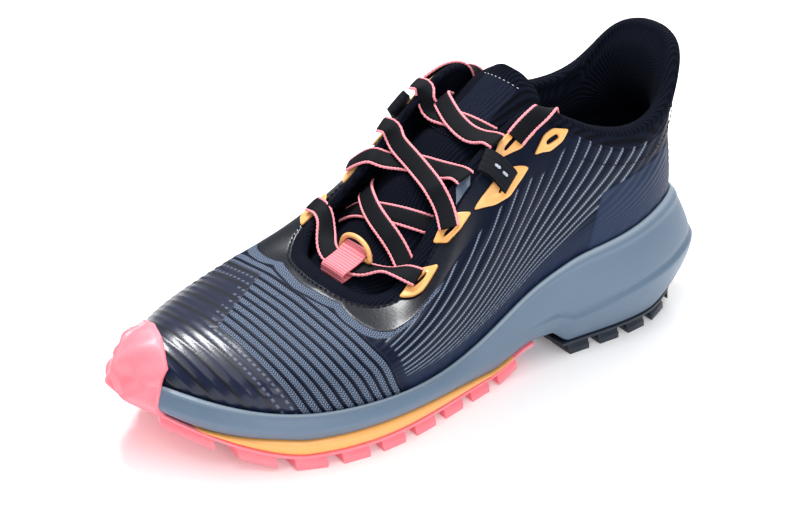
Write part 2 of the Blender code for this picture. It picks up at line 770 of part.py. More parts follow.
def skin_point(skin, along, place_there, rise):
    """A point over one of the skins. place_there is across on the tongue, a turn on a crown, else a drop."""
    if skin == "tongue":
        return tongue_point(along, place_there * TONGUE_WIDTH, rise)
    side = 1 if skin.startswith("lateral") else -1
    station = edge_station(side, along)
    if skin.endswith("crown"):
        spot = crown_point(station, place_there, rise)
        return spot, spot - crown_point(station, place_there, rise - LACE_THICKNESS)
    share = share_below(station, place_there * EYESTAY_DEPTH)
    out = wall_normal(station, share)
    if skin.endswith("inside"):
        depth = float(wall_thickness(np.float64(station), np.float64(share)))
        return wall_point(station, share, -depth - rise), -out
    return wall_point(station, share, rise), out


# Eyelet patches of one side: patch, then its corners from the rear tip, along of SOLE_LENGTH and
# drop of EYESTAY_DEPTH
PATCH_CORNERS = {
    1: ((0.575, 0.467), (0.603, 0.467), (0.619, 0.353), (0.638, 0.160), (0.623, 0.103), (0.605, 0.097)),
    2: ((0.514, 0.493), (0.535, 0.497), (0.560, 0.380), (0.578, 0.117), (0.566, 0.100), (0.542, 0.200)),
    3: ((0.407, 0.680), (0.457, 0.420), (0.514, 0.480), (0.469, 0.783), (0.439, 0.897), (0.417, 0.777)),
    4: ((0.399, 0.100), (0.401, 0.260), (0.424, 0.380), (0.476, 0.200), (0.457, 0.055), (0.429, 0.050)),
    5: ((0.348, 0.070), (0.372, 0.150), (0.386, 0.273), (0.400, 0.547), (0.375, 0.463), (0.358, 0.270)),
}
SLOTS = {1: (0.607, 0.255), 2: (0.552, 0.300), 3: (0.452, 0.640), 4: (0.440, 0.190), 5: (0.374, 0.300)}


def eyelet_patch(side, number, finish):
    """A thin lozenge with a slot for the lace, laid over the upper."""
    sizes = np.array([SOLE_LENGTH, EYESTAY_DEPTH])
    corners = np.array(PATCH_CORNERS[number]) * sizes
    between = 0.5 * (corners + np.roll(corners, -1, axis=0))
    rim = np.stack([corners, between], axis=1).reshape(-1, 2)
    centre = np.array(SLOTS[number]) * sizes
    axis = corners[3] - corners[0]
    axis /= np.linalg.norm(axis)
    away = rim - centre
    turn = np.arctan2(away @ np.array([-axis[1], axis[0]]), away @ axis)
    hole = (centre + 0.5 * SLOT_LENGTH * np.cos(turn)[:, None] * axis
            + 0.5 * SLOT_WIDTH * np.sin(turn)[:, None] * np.array([-axis[1], axis[0]]))
    rings = []
    for loop, lift in ((rim, 0.0), (rim, PATCH_THICKNESS), (hole, PATCH_THICKNESS), (hole, 0.0)):
        rings.append(np.array([quarter_point(side, a, d, PATCH_LIFT + lift) for a, d in loop]))
    label = "lateral" if side > 0 else "medial"
    return closed_rings(f"eyelet_{label}_{number}", rings, finish)


# Sections of folded webbing, outer and inner loop: share of its length, rise in webbing thicknesses
LOOP_ROOT = (0.447, 0.66)
LOOP_TIP = (0.487, 0.06)
LOOP_OUTER = (
    (0.0, 2.0), (0.6, 2.3), (0.92, 2.3), (1.0, 4.1), (0.92, 6.2), (0.6, 6.2), (0.3, 4.8), (0.0, 4.2))
LOOP_INNER = (
    (0.15, 3.1), (0.6, 3.3), (0.88, 3.3), (0.94, 4.1), (0.88, 5.2), (0.6, 5.2), (0.35, 3.8), (0.15, 3.4))
KEEPER_OUTER = (
    (0.0, 0.4), (0.46, 0.4), (0.93, 0.5), (1.02, 2.6), (0.93, 5.6), (0.46, 5.1), (0.10, 4.7), (0.0, 2.3))
KEEPER_INNER = (
    (0.06, 1.2), (0.46, 1.2), (0.90, 1.1), (0.965, 2.6), (0.90, 4.8), (0.46, 4.2), (0.10, 3.8), (0.06, 2.3))


def folded_webbing(name, outer, inner, half_width, spot_at, finish):
    """A strip folded on itself: a section with its hollow, carried across the strip's width."""
    rings = []
    for section, sides in ((outer, (-1, 0, 1)), (inner, (1, 0, -1))):
        for side in sides:
            rings.append(np.array([spot_at(share, side * half_width, rise * WEBBING_THICKNESS)
                                   for share, rise in section]))
    return closed_rings(name, rings, finish)


def make_lace_loop(side, finish):
    sizes = np.array([SOLE_LENGTH, EYESTAY_DEPTH])
    root = np.array(LOOP_ROOT) * sizes
    run = np.array(LOOP_TIP) * sizes - root
    across = np.array([-run[1], run[0]]) / np.linalg.norm(run)

    def spot_at(share, sideways, rise):
        along, drop = root + run * share + across * sideways
        return quarter_point(side, along, max(drop, 0.0), rise)

    label = "lateral" if side > 0 else "medial"
    return folded_webbing(f"lace_loop_{label}", LOOP_OUTER, LOOP_INNER, 0.5 * WEBBING_WIDTH, spot_at, finish)


def make_lace_keeper():
    def spot_at(share, sideways, rise):
        return tongue_point(KEEPER_FRONT - share * KEEPER_LENGTH, KEEPER_ACROSS + sideways, rise)[0]

    coral = material("coral_webbing", (1.0, 0.28, 0.33), 0.8)
    return folded_webbing("lace_keeper", KEEPER_OUTER, KEEPER_INNER, 0.5 * KEEPER_WIDTH, spot_at, coral)


def make_gaiter_ring():
    """A D-shaped ring standing in the keeper's fold; its bar is the hinge's axis."""
    axis = tongue_point(KEEPER_FRONT - RING_BACK, KEEPER_ACROSS, RING_RISE)[0]
    turns = np.linspace(0.0, math.pi, 17)
    arc = [(RING_HALF * math.cos(t), RING_REACH * math.sin(t) ** 0.8) for t in turns]
    bar = [(-RING_HALF + 2.0 * RING_HALF * k / 5, 0.0) for k in range(1, 5)]
    path = np.array(arc + bar)
    run = np.roll(path, -1, axis=0) - np.roll(path, 1, axis=0)
    run /= np.linalg.norm(run, axis=1, keepdims=True)
    rings = []
    for (x, z), (dx, dz) in zip(path, run):
        ring = []
        for k in range(8):
            angle = math.tau * k / 8
            level = RING_WIRE * math.cos(angle)
            ring.append((x + dz * level, RING_WIRE * math.sin(angle), z - dx * level))
        rings.append(np.array(ring))
    made = closed_rings("gaiter_ring", rings, material("peach_ring", (0.95, 0.60, 0.24), 0.4))
    made.location = axis
    return made


# The lace's routes: skin, along of SOLE_LENGTH, place on that skin, rise in lace thicknesses
FIRST_BAR = (
    ("medial", 0.607, 0.255, 2.1), ("medial", 0.611, 0.12, 2.3), ("medial crown", 0.616, 0.50, 2.2),
    ("tongue", 0.635, -0.32, 4.6), ("tongue", 0.653, -0.16, 1.9), ("tongue", 0.653, 0.00, 1.85),
    ("tongue", 0.652, 0.15, 1.9), ("tongue", 0.648, 0.23, 3.6), ("tongue", 0.636, 0.31, 4.8),
    ("lateral crown", 0.616, 0.50, 1.9),
    ("lateral", 0.611, 0.12, 1.7), ("lateral", 0.607, 0.255, 2.1),
)
LOWER_UNDER = (
    ("tongue", 0.598, -0.41, 1.0), ("tongue", 0.588, -0.34, 1.0), ("tongue", 0.583, -0.12, 1.0),
    ("tongue", 0.575, 0.10, 1.0), ("tongue", 0.568, 0.28, 1.0), ("tongue", 0.565, 0.35, 1.0),
)
LOWER_OVER = (
    ("tongue", 0.562, -0.38, 1.0), ("tongue", 0.571, -0.26, 1.4), ("tongue", 0.583, -0.10, 1.85),
    ("tongue", 0.594, 0.08, 1.5), ("tongue", 0.598, 0.16, 1.0), ("tongue", 0.600, 0.21, 1.0),
)
MIDDLE_UNDER = (
    ("medial", 0.552, 0.30, 2.1), ("medial", 0.549, 0.12, 2.2), ("medial crown", 0.546, 0.50, 2.5),
    ("tongue", 0.540, -0.28, 4.4), ("tongue", 0.527, -0.12, 1.0), ("tongue", 0.520, 0.10, 1.0),
    ("tongue", 0.516, 0.23, 1.9), ("lateral crown", 0.515, 0.50, 1.6), ("lateral", 0.514, 0.06, 3.0),
)
MIDDLE_OVER = (
    ("tongue", 0.514, -0.28, 3.4), ("tongue", 0.516, -0.20, 2.2), ("tongue", 0.521, -0.10, 1.5), ("tongue", 0.529, 0.06, 1.85), ("tongue", 0.538, 0.23, 2.6),
    ("lateral crown", 0.546, 0.50, 1.5), ("lateral", 0.549, 0.12, 1.7), ("lateral", 0.552, 0.30, 2.1),
)
TOP_UNDER = (
    ("tongue", 0.465, -0.27, 3.4), ("tongue", 0.464, -0.20, 1.9),
    ("tongue", 0.462, -0.14, 1.0), ("tongue", 0.459, 0.02, 1.0), ("tongue", 0.456, 0.17, 1.0),
    ("tongue", 0.454, 0.26, 1.0),
)
TOP_OVER = (
    ("tongue", 0.434, -0.30, 1.0), ("tongue", 0.444, -0.19, 1.4), ("tongue", 0.458, -0.07, 1.85),
    ("tongue", 0.468, 0.10, 1.4), ("tongue", 0.471, 0.22, 2.4), ("lateral crown", 0.464, 0.50, 1.6),
    ("lateral", 0.461, 0.05, 3.0),
)
END_LATERAL = (
    ("lateral", 0.436, 0.19, 2.1), ("lateral", 0.422, 0.12, 1.9), ("lateral", 0.400, 0.05, 1.6),
    ("lateral crown", 0.380, 0.30, 1.1), ("lateral crown", 0.366, 0.70, 1.1),
    ("lateral inside", 0.357, 0.10, 1.1), ("lateral inside", 0.350, 0.40, 1.1),
    ("lateral inside", 0.343, 0.80, 1.1),
)
END_MEDIAL = (
    ("medial", 0.436, 0.19, 2.1), ("medial", 0.422, 0.10, 1.9), ("medial", 0.398, 0.05, 1.6),
    ("medial crown", 0.371, 0.30, 1.1), ("medial crown", 0.354, 0.70, 1.4),
    ("medial inside", 0.344, 0.10, 1.3), ("medial inside", 0.336, 0.40, 1.1),
    ("medial inside", 0.328, 0.80, 1.1),
)


def throat_skins(with_tongue):
    """Points on the skins that the lace lies on, and the directions that those skins face."""
    stations = np.linspace(6.0, 2.0 * (len(STATIONS) - 1) - 6.0, 260)
    level = np.zeros_like(stations)
    shares = np.linspace(0.6, 1.0, 12)
    spots = [wall_point(stations, level + share) for share in shares]
    outs = [wall_normal(stations, level + share) for share in shares]
    for turn in np.linspace(0.15, 1.0, 8):
        spots.append(crown_point(stations, turn))
        outs.append(crown_point(stations, turn, 1.0) - spots[-1])
    if not with_tongue:
        for share in shares:
            spots.append(wall_point(stations, level + share, -wall_thickness(stations, level + share)))
            outs.append(-wall_normal(stations, level + share))
        return np.concatenate(spots), np.concatenate(outs)
    for along in np.linspace(0.38, 0.70, 50) * SOLE_LENGTH:
        pairs = [tongue_point(along, across, 0.0) for across in np.linspace(-0.4, 0.4, 13) * TONGUE_WIDTH]
        spots.append(np.array([spot for spot, _ in pairs]))
        outs.append(np.array([out for _, out in pairs]))
    return np.concatenate(spots), np.concatenate(outs)


def laid_over(path, side, facing, skins):
    """The path lifted where the ribbon along it would come nearer to a skin than its clearance."""
    spots, outs = skins
    path = path.copy()
    for _ in range(6):
        lack = np.zeros(len(path))
        for place_there in (-0.5, -0.25, 0.0, 0.25, 0.5):
            under = path + side * place_there * LACE_WIDTH - facing * 0.5 * LACE_THICKNESS
            nearest = np.argmin(((under[:, None] - spots[None]) ** 2).sum(axis=2), axis=1)
            height = ((under - spots[nearest]) * outs[nearest]).sum(axis=1)
            lack = np.maximum(lack, 3.0 * FIT - height)
        spread = np.maximum(lack, 0.5 * (np.roll(lack, 1) + np.roll(lack, -1)))
        path += facing * spread[:, None]
    return path


def smooth_run(points, steps):
    """A smooth curve through points, with steps to each span."""
    points = np.asarray(points)
    padded = np.concatenate([[2 * points[0] - points[1]], points, [2 * points[-1] - points[-2]]])
    run = []
    for k in range(len(points) - 1):
        a, b, c, d = padded[k:k + 4]
        for t in np.arange(steps) / steps:
            run.append(0.5 * (2 * b + (c - a) * t + (2 * a - 5 * b + 4 * c - d) * t * t
                              + (3 * b - a - 3 * c + d) * t ** 3))
    run.append(points[-1])
    return np.array(run)


def ribbon(name, route, skins, finish):
    """A flat lace along a route, facing away from the skin under it."""
    spots = [skin_point(skin, along * SOLE_LENGTH, there, rise * LACE_THICKNESS)
             for skin, along, there, rise in route]
    path = smooth_run([spot for spot, _ in spots], 3)
    facing = smooth_run([way / np.linalg.norm(way) for _, way in spots], 3)
    facing /= np.linalg.norm(facing, axis=1, keepdims=True)
    heading = np.gradient(path, axis=0)
    side = np.cross(heading, facing)
    side /= np.linalg.norm(side, axis=1, keepdims=True)
    path = laid_over(path, side, facing, skins)
    up = np.cross(side, heading)
    up /= np.linalg.norm(up, axis=1, keepdims=True)
    rings = []
    for k in range(len(path)):
        rings.append(np.array([path[k] + a * 0.5 * LACE_WIDTH * side[k] + b * 0.5 * LACE_THICKNESS * up[k]
                               for a, b in ((1, 1), (-1, 1), (-1, -1), (1, -1))]))
    return capped_rings(name, rings, (0, 1), (3, 2), finish)


def make_laces():
    black = material("lace_black", (0.008, 0.010, 0.018), 0.8)
    skins = throat_skins(True)
    ribbon("lace_first_bar", FIRST_BAR, skins, black)
    for name, under, over in (("lace_lower_crossing", LOWER_UNDER, LOWER_OVER),
                              ("lace_middle_crossing", MIDDLE_UNDER, MIDDLE_OVER),
                              ("lace_top_crossing", TOP_UNDER, TOP_OVER)):
        join(ribbon(name, under, skins, black), [ribbon("over", over, skins, black)])
    wall = throat_skins(False)
    ribbon("lace_end_lateral", END_LATERAL, wall, black)
    ribbon("lace_end_medial", END_MEDIAL, wall, black)


def make_trim():
    peach = material("peach_film", (0.95, 0.60, 0.24), 0.4)
    webbing = material("black_webbing", (0.01, 0.012, 0.02), 0.8)
    for side in (1, -1):
        for number in PATCH_CORNERS:
            eyelet_patch(side, number, peach)
        make_lace_loop(side, webbing)
    make_lace_keeper()
    make_gaiter_ring()


def build():
    for old in list(bpy.data.objects):
        bpy.data.objects.remove(old)
    make_outsole_forefoot()
    make_outsole_heel()
    make_forefoot_insert()
    make_midsole()
    make_insole()
    make_upper()
    make_tongue()
    make_trim()
    make_laces()


build()
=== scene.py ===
"""Looks of a trail running shoe for a left foot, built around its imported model.

+Z is up, the toe points to -Y and the lateral side is at +X. The shoe's surfaces are worked out from
the same named sizes and tables as its solids, with denser points, and get their finish here.
"""

import functools
import math

import bmesh
import bpy
import numpy as np
from mathutils import Matrix, Vector

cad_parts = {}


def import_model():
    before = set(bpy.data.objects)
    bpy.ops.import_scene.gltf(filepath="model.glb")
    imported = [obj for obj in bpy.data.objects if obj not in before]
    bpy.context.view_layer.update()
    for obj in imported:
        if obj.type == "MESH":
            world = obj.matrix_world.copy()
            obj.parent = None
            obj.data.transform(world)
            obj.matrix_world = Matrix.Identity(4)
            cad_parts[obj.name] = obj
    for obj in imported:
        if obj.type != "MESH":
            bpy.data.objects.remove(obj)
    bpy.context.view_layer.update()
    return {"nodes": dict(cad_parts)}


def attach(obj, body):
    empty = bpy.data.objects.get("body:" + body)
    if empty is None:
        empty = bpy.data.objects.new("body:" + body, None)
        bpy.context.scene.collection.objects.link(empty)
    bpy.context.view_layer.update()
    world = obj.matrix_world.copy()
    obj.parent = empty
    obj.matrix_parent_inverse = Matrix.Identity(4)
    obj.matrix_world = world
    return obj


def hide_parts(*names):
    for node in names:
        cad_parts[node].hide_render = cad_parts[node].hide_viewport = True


# Driving sizes, in metres
SOLE_LENGTH = 0.280
BALL_WIDTH = 0.098
HEEL_REST = 0.045
RIM_HEIGHT = 0.052
FOOTBED_HEIGHT = 0.028
TAB_HEIGHT = 0.119
COLLAR_WIDTH = 0.061
FIT = 0.0003

# Sole
LUG_HEIGHT = 0.004
TREAD_SKIN = 0.0018
INSERT_THICKNESS = 0.0056
TOE_SPRING = 0.0175
ARCH_LIFT = 0.006
HEEL_BEVEL = 0.008
HEEL_FLARE = 0.012
BOTTOM_TUCK = 0.007
RIM_EDGE = 0.0015
SIDE_STEP = 0.0011

# Upper and tongue
WALL = 0.0020
COLLAR_PAD = 0.0060
SWELL = 0.020
TONGUE_WIDTH = 0.060
TONGUE_PAD = 0.0060
TONGUE_DROOP = 0.018
TONGUE_OFFSET = 0.0018

# Laces, eyelets and webbing
EYESTAY_DEPTH = 0.030
PATCH_LIFT = 0.0004
PATCH_THICKNESS = 0.0008
LACE_THICKNESS = 0.0014
WEBBING_WIDTH = 0.0080
WEBBING_THICKNESS = 0.0009
KEEPER_WIDTH = 0.0124
KEEPER_ACROSS = 0.0025
KEEPER_FRONT = 0.6768 * SOLE_LENGTH
KEEPER_LENGTH = 0.0142
RING_HALF = 0.0086
RING_REACH = 0.0070
RING_BACK = 0.0119
RING_RISE = 0.0023

# Stations of the outline, from the back of the heel to the tip of the toe, as shares:
# along and split of SOLE_LENGTH, lateral and medial of BALL_WIDTH, rim of RIM_HEIGHT,
# flare of HEEL_FLARE, tuck of BOTTOM_TUCK, footbed of FOOTBED_HEIGHT, ridge of the side's height
STATION_COLUMNS = "along lateral medial rim flare tuck footbed ridge"
STATIONS = (
    (0.000, 0.000, 0.000, 1.02, 1.00, 0.75, 1.00, 0.50),
    (0.018, 0.178, 0.184, 1.03, 0.96, 0.86, 1.00, 0.50),
    (0.061, 0.302, 0.308, 1.04, 0.88, 1.00, 1.00, 0.50),
    (0.136, 0.381, 0.374, 1.00, 0.71, 0.93, 0.99, 0.46),
    (0.221, 0.398, 0.378, 0.91, 0.54, 0.79, 0.98, 0.40),
    (0.300, 0.383, 0.352, 0.85, 0.42, 0.64, 0.95, 0.32),
    (0.346, 0.372, 0.327, 0.79, 0.33, 0.50, 0.91, 0.30),
    (0.407, 0.372, 0.306, 0.68, 0.25, 0.43, 0.82, 0.34),
    (0.486, 0.403, 0.311, 0.52, 0.18, 0.36, 0.66, 0.42),
    (0.571, 0.454, 0.357, 0.41, 0.17, 0.29, 0.54, 0.50),
    (0.657, 0.505, 0.423, 0.395, 0.17, 0.29, 0.52, 0.50),
    (0.736, 0.520, 0.469, 0.413, 0.17, 0.29, 0.52, 0.50),
    (0.814, 0.480, 0.469, 0.425, 0.17, 0.29, 0.55, 0.50),
    (0.886, 0.388, 0.403, 0.47, 0.17, 0.43, 0.64, 0.50),
    (0.939, 0.255, 0.291, 0.53, 0.18, 0.57, 0.76, 0.50),
    (0.975, 0.112, 0.189, 0.58, 0.20, 0.71, 0.86, 0.50),
    (1.000, -0.061, 0.061, 0.61, 0.20, 0.71, 0.91, 0.50),
)

# The opening's edge at the same stations: along of SOLE_LENGTH, lateral and medial of COLLAR_WIDTH,
# their heights of TAB_HEIGHT. The wall leaves the rim with rise and lean and meets the edge with out
# and down, all four of SWELL. pad is the share of COLLAR_PAD
OPENING_COLUMNS = "along lateral lateral_height medial medial_height rise lean out down pad"
OPENING = (
    (0.077, 0.000, 1.000, 0.000, 1.000, 0.90, -0.15, -0.42, 1.30, 1.00),
    (0.083, 0.205, 0.980, 0.205, 0.982, 0.90, -0.13, -0.36, 1.25, 1.00),
    (0.105, 0.344, 0.915, 0.348, 0.928, 0.90, -0.05, -0.18, 1.15, 1.00),
    (0.145, 0.443, 0.807, 0.443, 0.828, 0.90, 0.02, 0.02, 1.00, 1.00),
    (0.209, 0.484, 0.755, 0.475, 0.786, 0.80, 0.05, 0.12, 0.90, 1.00),
    (0.275, 0.484, 0.777, 0.475, 0.800, 0.90, 0.08, 0.20, 0.90, 0.90),
    (0.321, 0.467, 0.819, 0.467, 0.845, 1.00, 0.10, 0.25, 0.90, 0.70),
    (0.361, 0.426, 0.866, 0.451, 0.890, 1.10, 0.10, 0.30, 0.90, 0.45),
    (0.407, 0.361, 0.895, 0.402, 0.935, 1.30, 0.15, 0.50, 0.85, 0.20),
    (0.468, 0.328, 0.811, 0.377, 0.872, 1.30, 0.20, 0.75, 0.80, 0.10),
    (0.536, 0.336, 0.676, 0.400, 0.708, 1.20, 0.20, 0.90, 0.70, 0.10),
    (0.597, 0.385, 0.508, 0.452, 0.552, 1.00, 0.20, 0.90, 0.50, 0.10),
    (0.641, 0.402, 0.418, 0.440, 0.470, 0.90, 0.20, 0.90, 0.35, 0.10),
    (0.671, 0.328, 0.399, 0.336, 0.427, 0.80, 0.20, 1.10, 0.25, 0.10),
    (0.686, 0.205, 0.407, 0.221, 0.424, 0.85, 0.12, 1.35, 0.30, 0.10),
    (0.691, 0.098, 0.415, 0.107, 0.422, 0.85, 0.10, 1.55, 0.33, 0.10),
    (0.693, 0.000, 0.418, 0.000, 0.418, 0.85, 0.10, 1.65, 0.35, 0.10),
)


# Station of the toe's tip, and the count of stations all the way round
TOE = len(STATIONS) - 1.0
ROUND = 2.0 * TOE


# Smooth closed curves

def column(columns, rows, name):
    place = columns.split().index(name)
    return np.array([row[place] for row in rows])


def both_sides(lateral, medial):
    """Values of the lateral side, heel to toe, then of the medial side back to the heel."""
    return np.concatenate([lateral, medial[-2:0:-1]])


class ClosedCurve:
    """A smooth closed curve through one value for each station."""

    def __init__(self, values):
        self.values = np.asarray(values, float)
        count = len(self.values)
        system = 4.0 * np.eye(count) + np.roll(np.eye(count), 1, 0) + np.roll(np.eye(count), -1, 0)
        turn = np.roll(self.values, 1) - 2.0 * self.values + np.roll(self.values, -1)
        self.bend = np.linalg.solve(system, 6.0 * turn)

    def at(self, station):
        count = len(self.values)
        station = np.mod(np.asarray(station, float), count)
        low = np.floor(station).astype(int) % count
        high = (low + 1) % count
        after = station - np.floor(station)
        before = 1.0 - after
        straight = before * self.values[low] + after * self.values[high]
        curve = (before ** 3 - before) * self.bend[low] + (after ** 3 - after) * self.bend[high]
        return straight + curve / 6.0


def station_curve(name, size):
    values = column(STATION_COLUMNS, STATIONS, name) * size
    return ClosedCurve(both_sides(values, values))


def opening_curve(name, size):
    values = column(OPENING_COLUMNS, OPENING, name) * size
    return ClosedCurve(both_sides(values, values))


def opening_sides(lateral, medial, size, sign):
    one = column(OPENING_COLUMNS, OPENING, lateral) * size
    other = column(OPENING_COLUMNS, OPENING, medial) * size * sign
    return ClosedCurve(both_sides(one, other))


ALONG = station_curve("along", SOLE_LENGTH)
ACROSS = ClosedCurve(both_sides(column(STATION_COLUMNS, STATIONS, "lateral") * BALL_WIDTH,
                                column(STATION_COLUMNS, STATIONS, "medial") * -BALL_WIDTH))
RIM = station_curve("rim", RIM_HEIGHT)
FLARE = station_curve("flare", HEEL_FLARE)
TUCK = station_curve("tuck", BOTTOM_TUCK)
FOOTBED = station_curve("footbed", FOOTBED_HEIGHT)
RIDGE = station_curve("ridge", 1.0)
EDGE_ALONG = opening_curve("along", SOLE_LENGTH)
EDGE_ACROSS = opening_sides("lateral", "medial", COLLAR_WIDTH, -1.0)
EDGE_HEIGHT = opening_sides("lateral_height", "medial_height", TAB_HEIGHT, 1.0)
RISE = opening_curve("rise", SWELL)
LEAN = opening_curve("lean", SWELL)
OUT = opening_curve("out", SWELL)
DOWN = opening_curve("down", SWELL)
PAD = opening_curve("pad", COLLAR_PAD)


def unit(vectors):
    return vectors / np.linalg.norm(vectors, axis=-1, keepdims=True)


def distance_along(points):
    """Distance along a line of points, from its first."""
    return np.concatenate([[0.0], np.cumsum(np.linalg.norm(np.diff(points, axis=0), axis=1))])


def ease(value, start, end):
    """0 before start, 1 after end, smooth between."""
    share = np.clip((np.asarray(value, float) - start) / (end - start), 0.0, 1.0)
    return share * share * (3.0 - 2.0 * share)


def place(along, across, height):
    """A point of the shoe in world coordinates."""
    along, across, height = np.broadcast_arrays(along, across, height)
    return np.stack([across, HEEL_REST - along, height], axis=-1).astype(float)


def plan_normal(along_curve, across_curve, station):
    """Outward direction, level, of a closed curve."""
    step = 0.02
    forth = place(along_curve.at(station + step), across_curve.at(station + step), 0.0)
    back = place(along_curve.at(station - step), across_curve.at(station - step), 0.0)
    run = forth - back
    return unit(np.stack([-run[..., 1], run[..., 0], 0.0 * run[..., 0]], axis=-1))


# Levels of the sole. Places along it are shares of SOLE_LENGTH

BALL_END = 0.825
ARCH_END = (0.39, 0.49)
BEVEL_END = 0.145
INSERT_GROWS = (0.36, 0.74)
INSERT_FADES = (0.84, 0.96)
ARCH_STEP = (0.318, 0.362)
SIDE_STEP_FADES = (0.30, 0.42)


def ease_along(along, span):
    return ease(along, span[0] * SOLE_LENGTH, span[1] * SOLE_LENGTH)


def ground_lift(along):
    """Height of the tread's face over the floor: toe spring and arch."""
    ball = BALL_END * SOLE_LENGTH
    toe = np.clip((along - ball) / (SOLE_LENGTH - ball), 0.0, 1.0) ** 1.5 * TOE_SPRING
    return toe + (1.0 - ease_along(along, ARCH_END)) * ARCH_LIFT


def heel_lift(along):
    """Height of the heel tread's face over the floor: the bevel at the back."""
    bevel = BEVEL_END * SOLE_LENGTH
    return np.clip((bevel - along) / bevel, 0.0, 1.0) ** 1.5 * HEEL_BEVEL


def insert_thickness(along):
    return INSERT_THICKNESS * ease_along(along, INSERT_GROWS) * (1.0 - ease_along(along, INSERT_FADES))


def fore_skin_top(along):
    return ground_lift(along) + LUG_HEIGHT + TREAD_SKIN


def heel_skin_top(along):
    return heel_lift(along) + LUG_HEIGHT + TREAD_SKIN


def underside(along):
    """Underside of the midsole, heel block and forefoot, with the step up into the arch."""
    fore = fore_skin_top(along) + 2.0 * FIT + insert_thickness(along)
    heel = heel_skin_top(along) + FIT
    return heel + (fore - heel) * ease_along(along, ARCH_STEP)


def outline(station, inset, height):
    """A point of the sole's outline, moved inwards by inset."""
    base = place(ALONG.at(station), ACROSS.at(station), height)
    return base - plan_normal(ALONG, ACROSS, station) * np.asarray(inset)[..., None]


def foot_along(station):
    """How far along the sole the foot of the midsole's side stands."""
    return HEEL_REST - outline(station, TUCK.at(station), 0.0)[..., 1]


def side_inset(station, share):
    """How far the midsole's side stands in from the outline, from its foot (0) to its rim (1)."""
    ridge = RIDGE.at(station)
    low = np.clip(1.0 - share / ridge, 0.0, 1.0)
    high = np.clip((share - ridge) / (1.0 - ridge), 0.0, 1.0)
    strength = 1.0 - ease_along(ALONG.at(station), SIDE_STEP_FADES)
    step = SIDE_STEP * strength * ease(share, ridge, ridge + 0.08) * (1.0 - high)
    return TUCK.at(station) * low ** 1.7 + FLARE.at(station) * high ** 1.3 + step


def midsole_side(station, share, lift=0.0):
    """A point on the midsole's side wall."""
    bottom = underside(foot_along(station))
    height = bottom + (RIM.at(station) - bottom) * share
    return outline(station, side_inset(station, share) - lift, height)


def cup_inset(station):
    """Inset of the inner wall of the midsole's rim."""
    return FLARE.at(station) + RIM_EDGE


# The upper's wall

def wall_curve(station, share):
    """The upper's outer face: share -1 at the footbed, 0 at the rim, 1 at the opening's edge."""
    inset = cup_inset(station) + FIT
    rim = RIM.at(station)
    foot = FOOTBED.at(station) + FIT
    height = rim + (rim - foot) * np.minimum(share, 0.0)
    start = outline(station, inset, height)
    end = place(EDGE_ALONG.at(station), EDGE_ACROSS.at(station), EDGE_HEIGHT.at(station))
    up = np.array([0.0, 0.0, 1.0])
    side = plan_normal(ALONG, ACROSS, station)
    lip = plan_normal(EDGE_ALONG, EDGE_ACROSS, station)
    first = start + RISE.at(station)[..., None] * up + LEAN.at(station)[..., None] * side
    second = end + OUT.at(station)[..., None] * lip - DOWN.at(station)[..., None] * up
    s = np.clip(share, 0.0, 1.0)[..., None]
    return (start * (1 - s) ** 3 + 3 * first * s * (1 - s) ** 2
            + 3 * second * s * s * (1 - s) + end * s ** 3)


def wall_normal(station, share):
    """Outward direction of the upper's outer face."""
    round_step = 0.03
    rise_step = 0.004
    top = np.minimum(share + rise_step, 1.0)
    low = np.maximum(top - 2 * rise_step, -1.0)
    run = wall_curve(station + round_step, share) - wall_curve(station - round_step, share)
    rise = wall_curve(station, top) - wall_curve(station, low)
    return unit(np.cross(rise, run))


def wall_point(station, share, lift=0.0):
    """A point on the upper, lifted off its outer face, or sunk into it when lift is negative."""
    station, share, lift = np.broadcast_arrays(
        np.asarray(station, float), np.asarray(share, float), np.asarray(lift, float))
    return wall_curve(station, share) + wall_normal(station, share) * lift[..., None]


def wall_thickness(station, share):
    padded = ease(share, 0.40, 0.75) * (1.0 - 0.3 * ease(share, 0.9, 1.0))
    return WALL + PAD.at(station) * padded


def crown_point(station, turn, lift=0.0):
    """A point of the rounded top edge: turn 0 at the outer face, 0.5 on top, 1 at the inner face."""
    level = np.zeros_like(np.asarray(station, float)) + 1.0
    out = wall_normal(station, level)
    rise = unit(wall_curve(station, level) - wall_curve(station, level - 0.02))
    half = 0.5 * wall_thickness(station, level)[..., None]
    around = out * math.cos(math.pi * turn) + rise * math.sin(math.pi * turn)
    return wall_curve(station, level) - out * half + around * (half + lift)


def edge_station(side, along):
    """Station of the opening's edge at places along it; side 1 is lateral, -1 medial."""
    stations = np.linspace(1.0, TOE, 800)
    found = np.interp(along, EDGE_ALONG.at(stations), stations)
    return found if side > 0 else ROUND - found


def share_below(station, drop):
    """Share of the wall at a distance down its face from the opening's edge."""
    shares = np.linspace(1.0, 0.0, 120)
    run = wall_curve(np.full(len(shares), station), shares)
    return float(np.interp(drop, distance_along(run), shares))


# Ground lugs

LUG_LENGTH = 0.0118
LUG_WIDTH = 0.0115
LUG_PITCH = 0.0172
LUG_FLARE = 0.0020
CHEVRON_ARM = 0.0078
CHEVRON_POINT = 0.0072
LUG_GAP = 0.0011
LUG_SUNK = 0.0006
# A lug's sections from the ground up: share of its height, share of its size
LUG_WAIST = ((0.0, 0.93), (0.45, 1.0), (0.55, 0.96), (1.0, 1.0))


def edge_at(along, side):
    """Half width of the tread's skin at a place along it."""
    stations = np.linspace(0.0, TOE, 400)
    if side < 0:
        stations = ROUND - stations
    rim = outline(stations, TUCK.at(stations), 0.0)
    order = np.argsort(HEEL_REST - rim[:, 1])
    return abs(float(np.interp(along, (HEEL_REST - rim[:, 1])[order], rim[order, 0])))


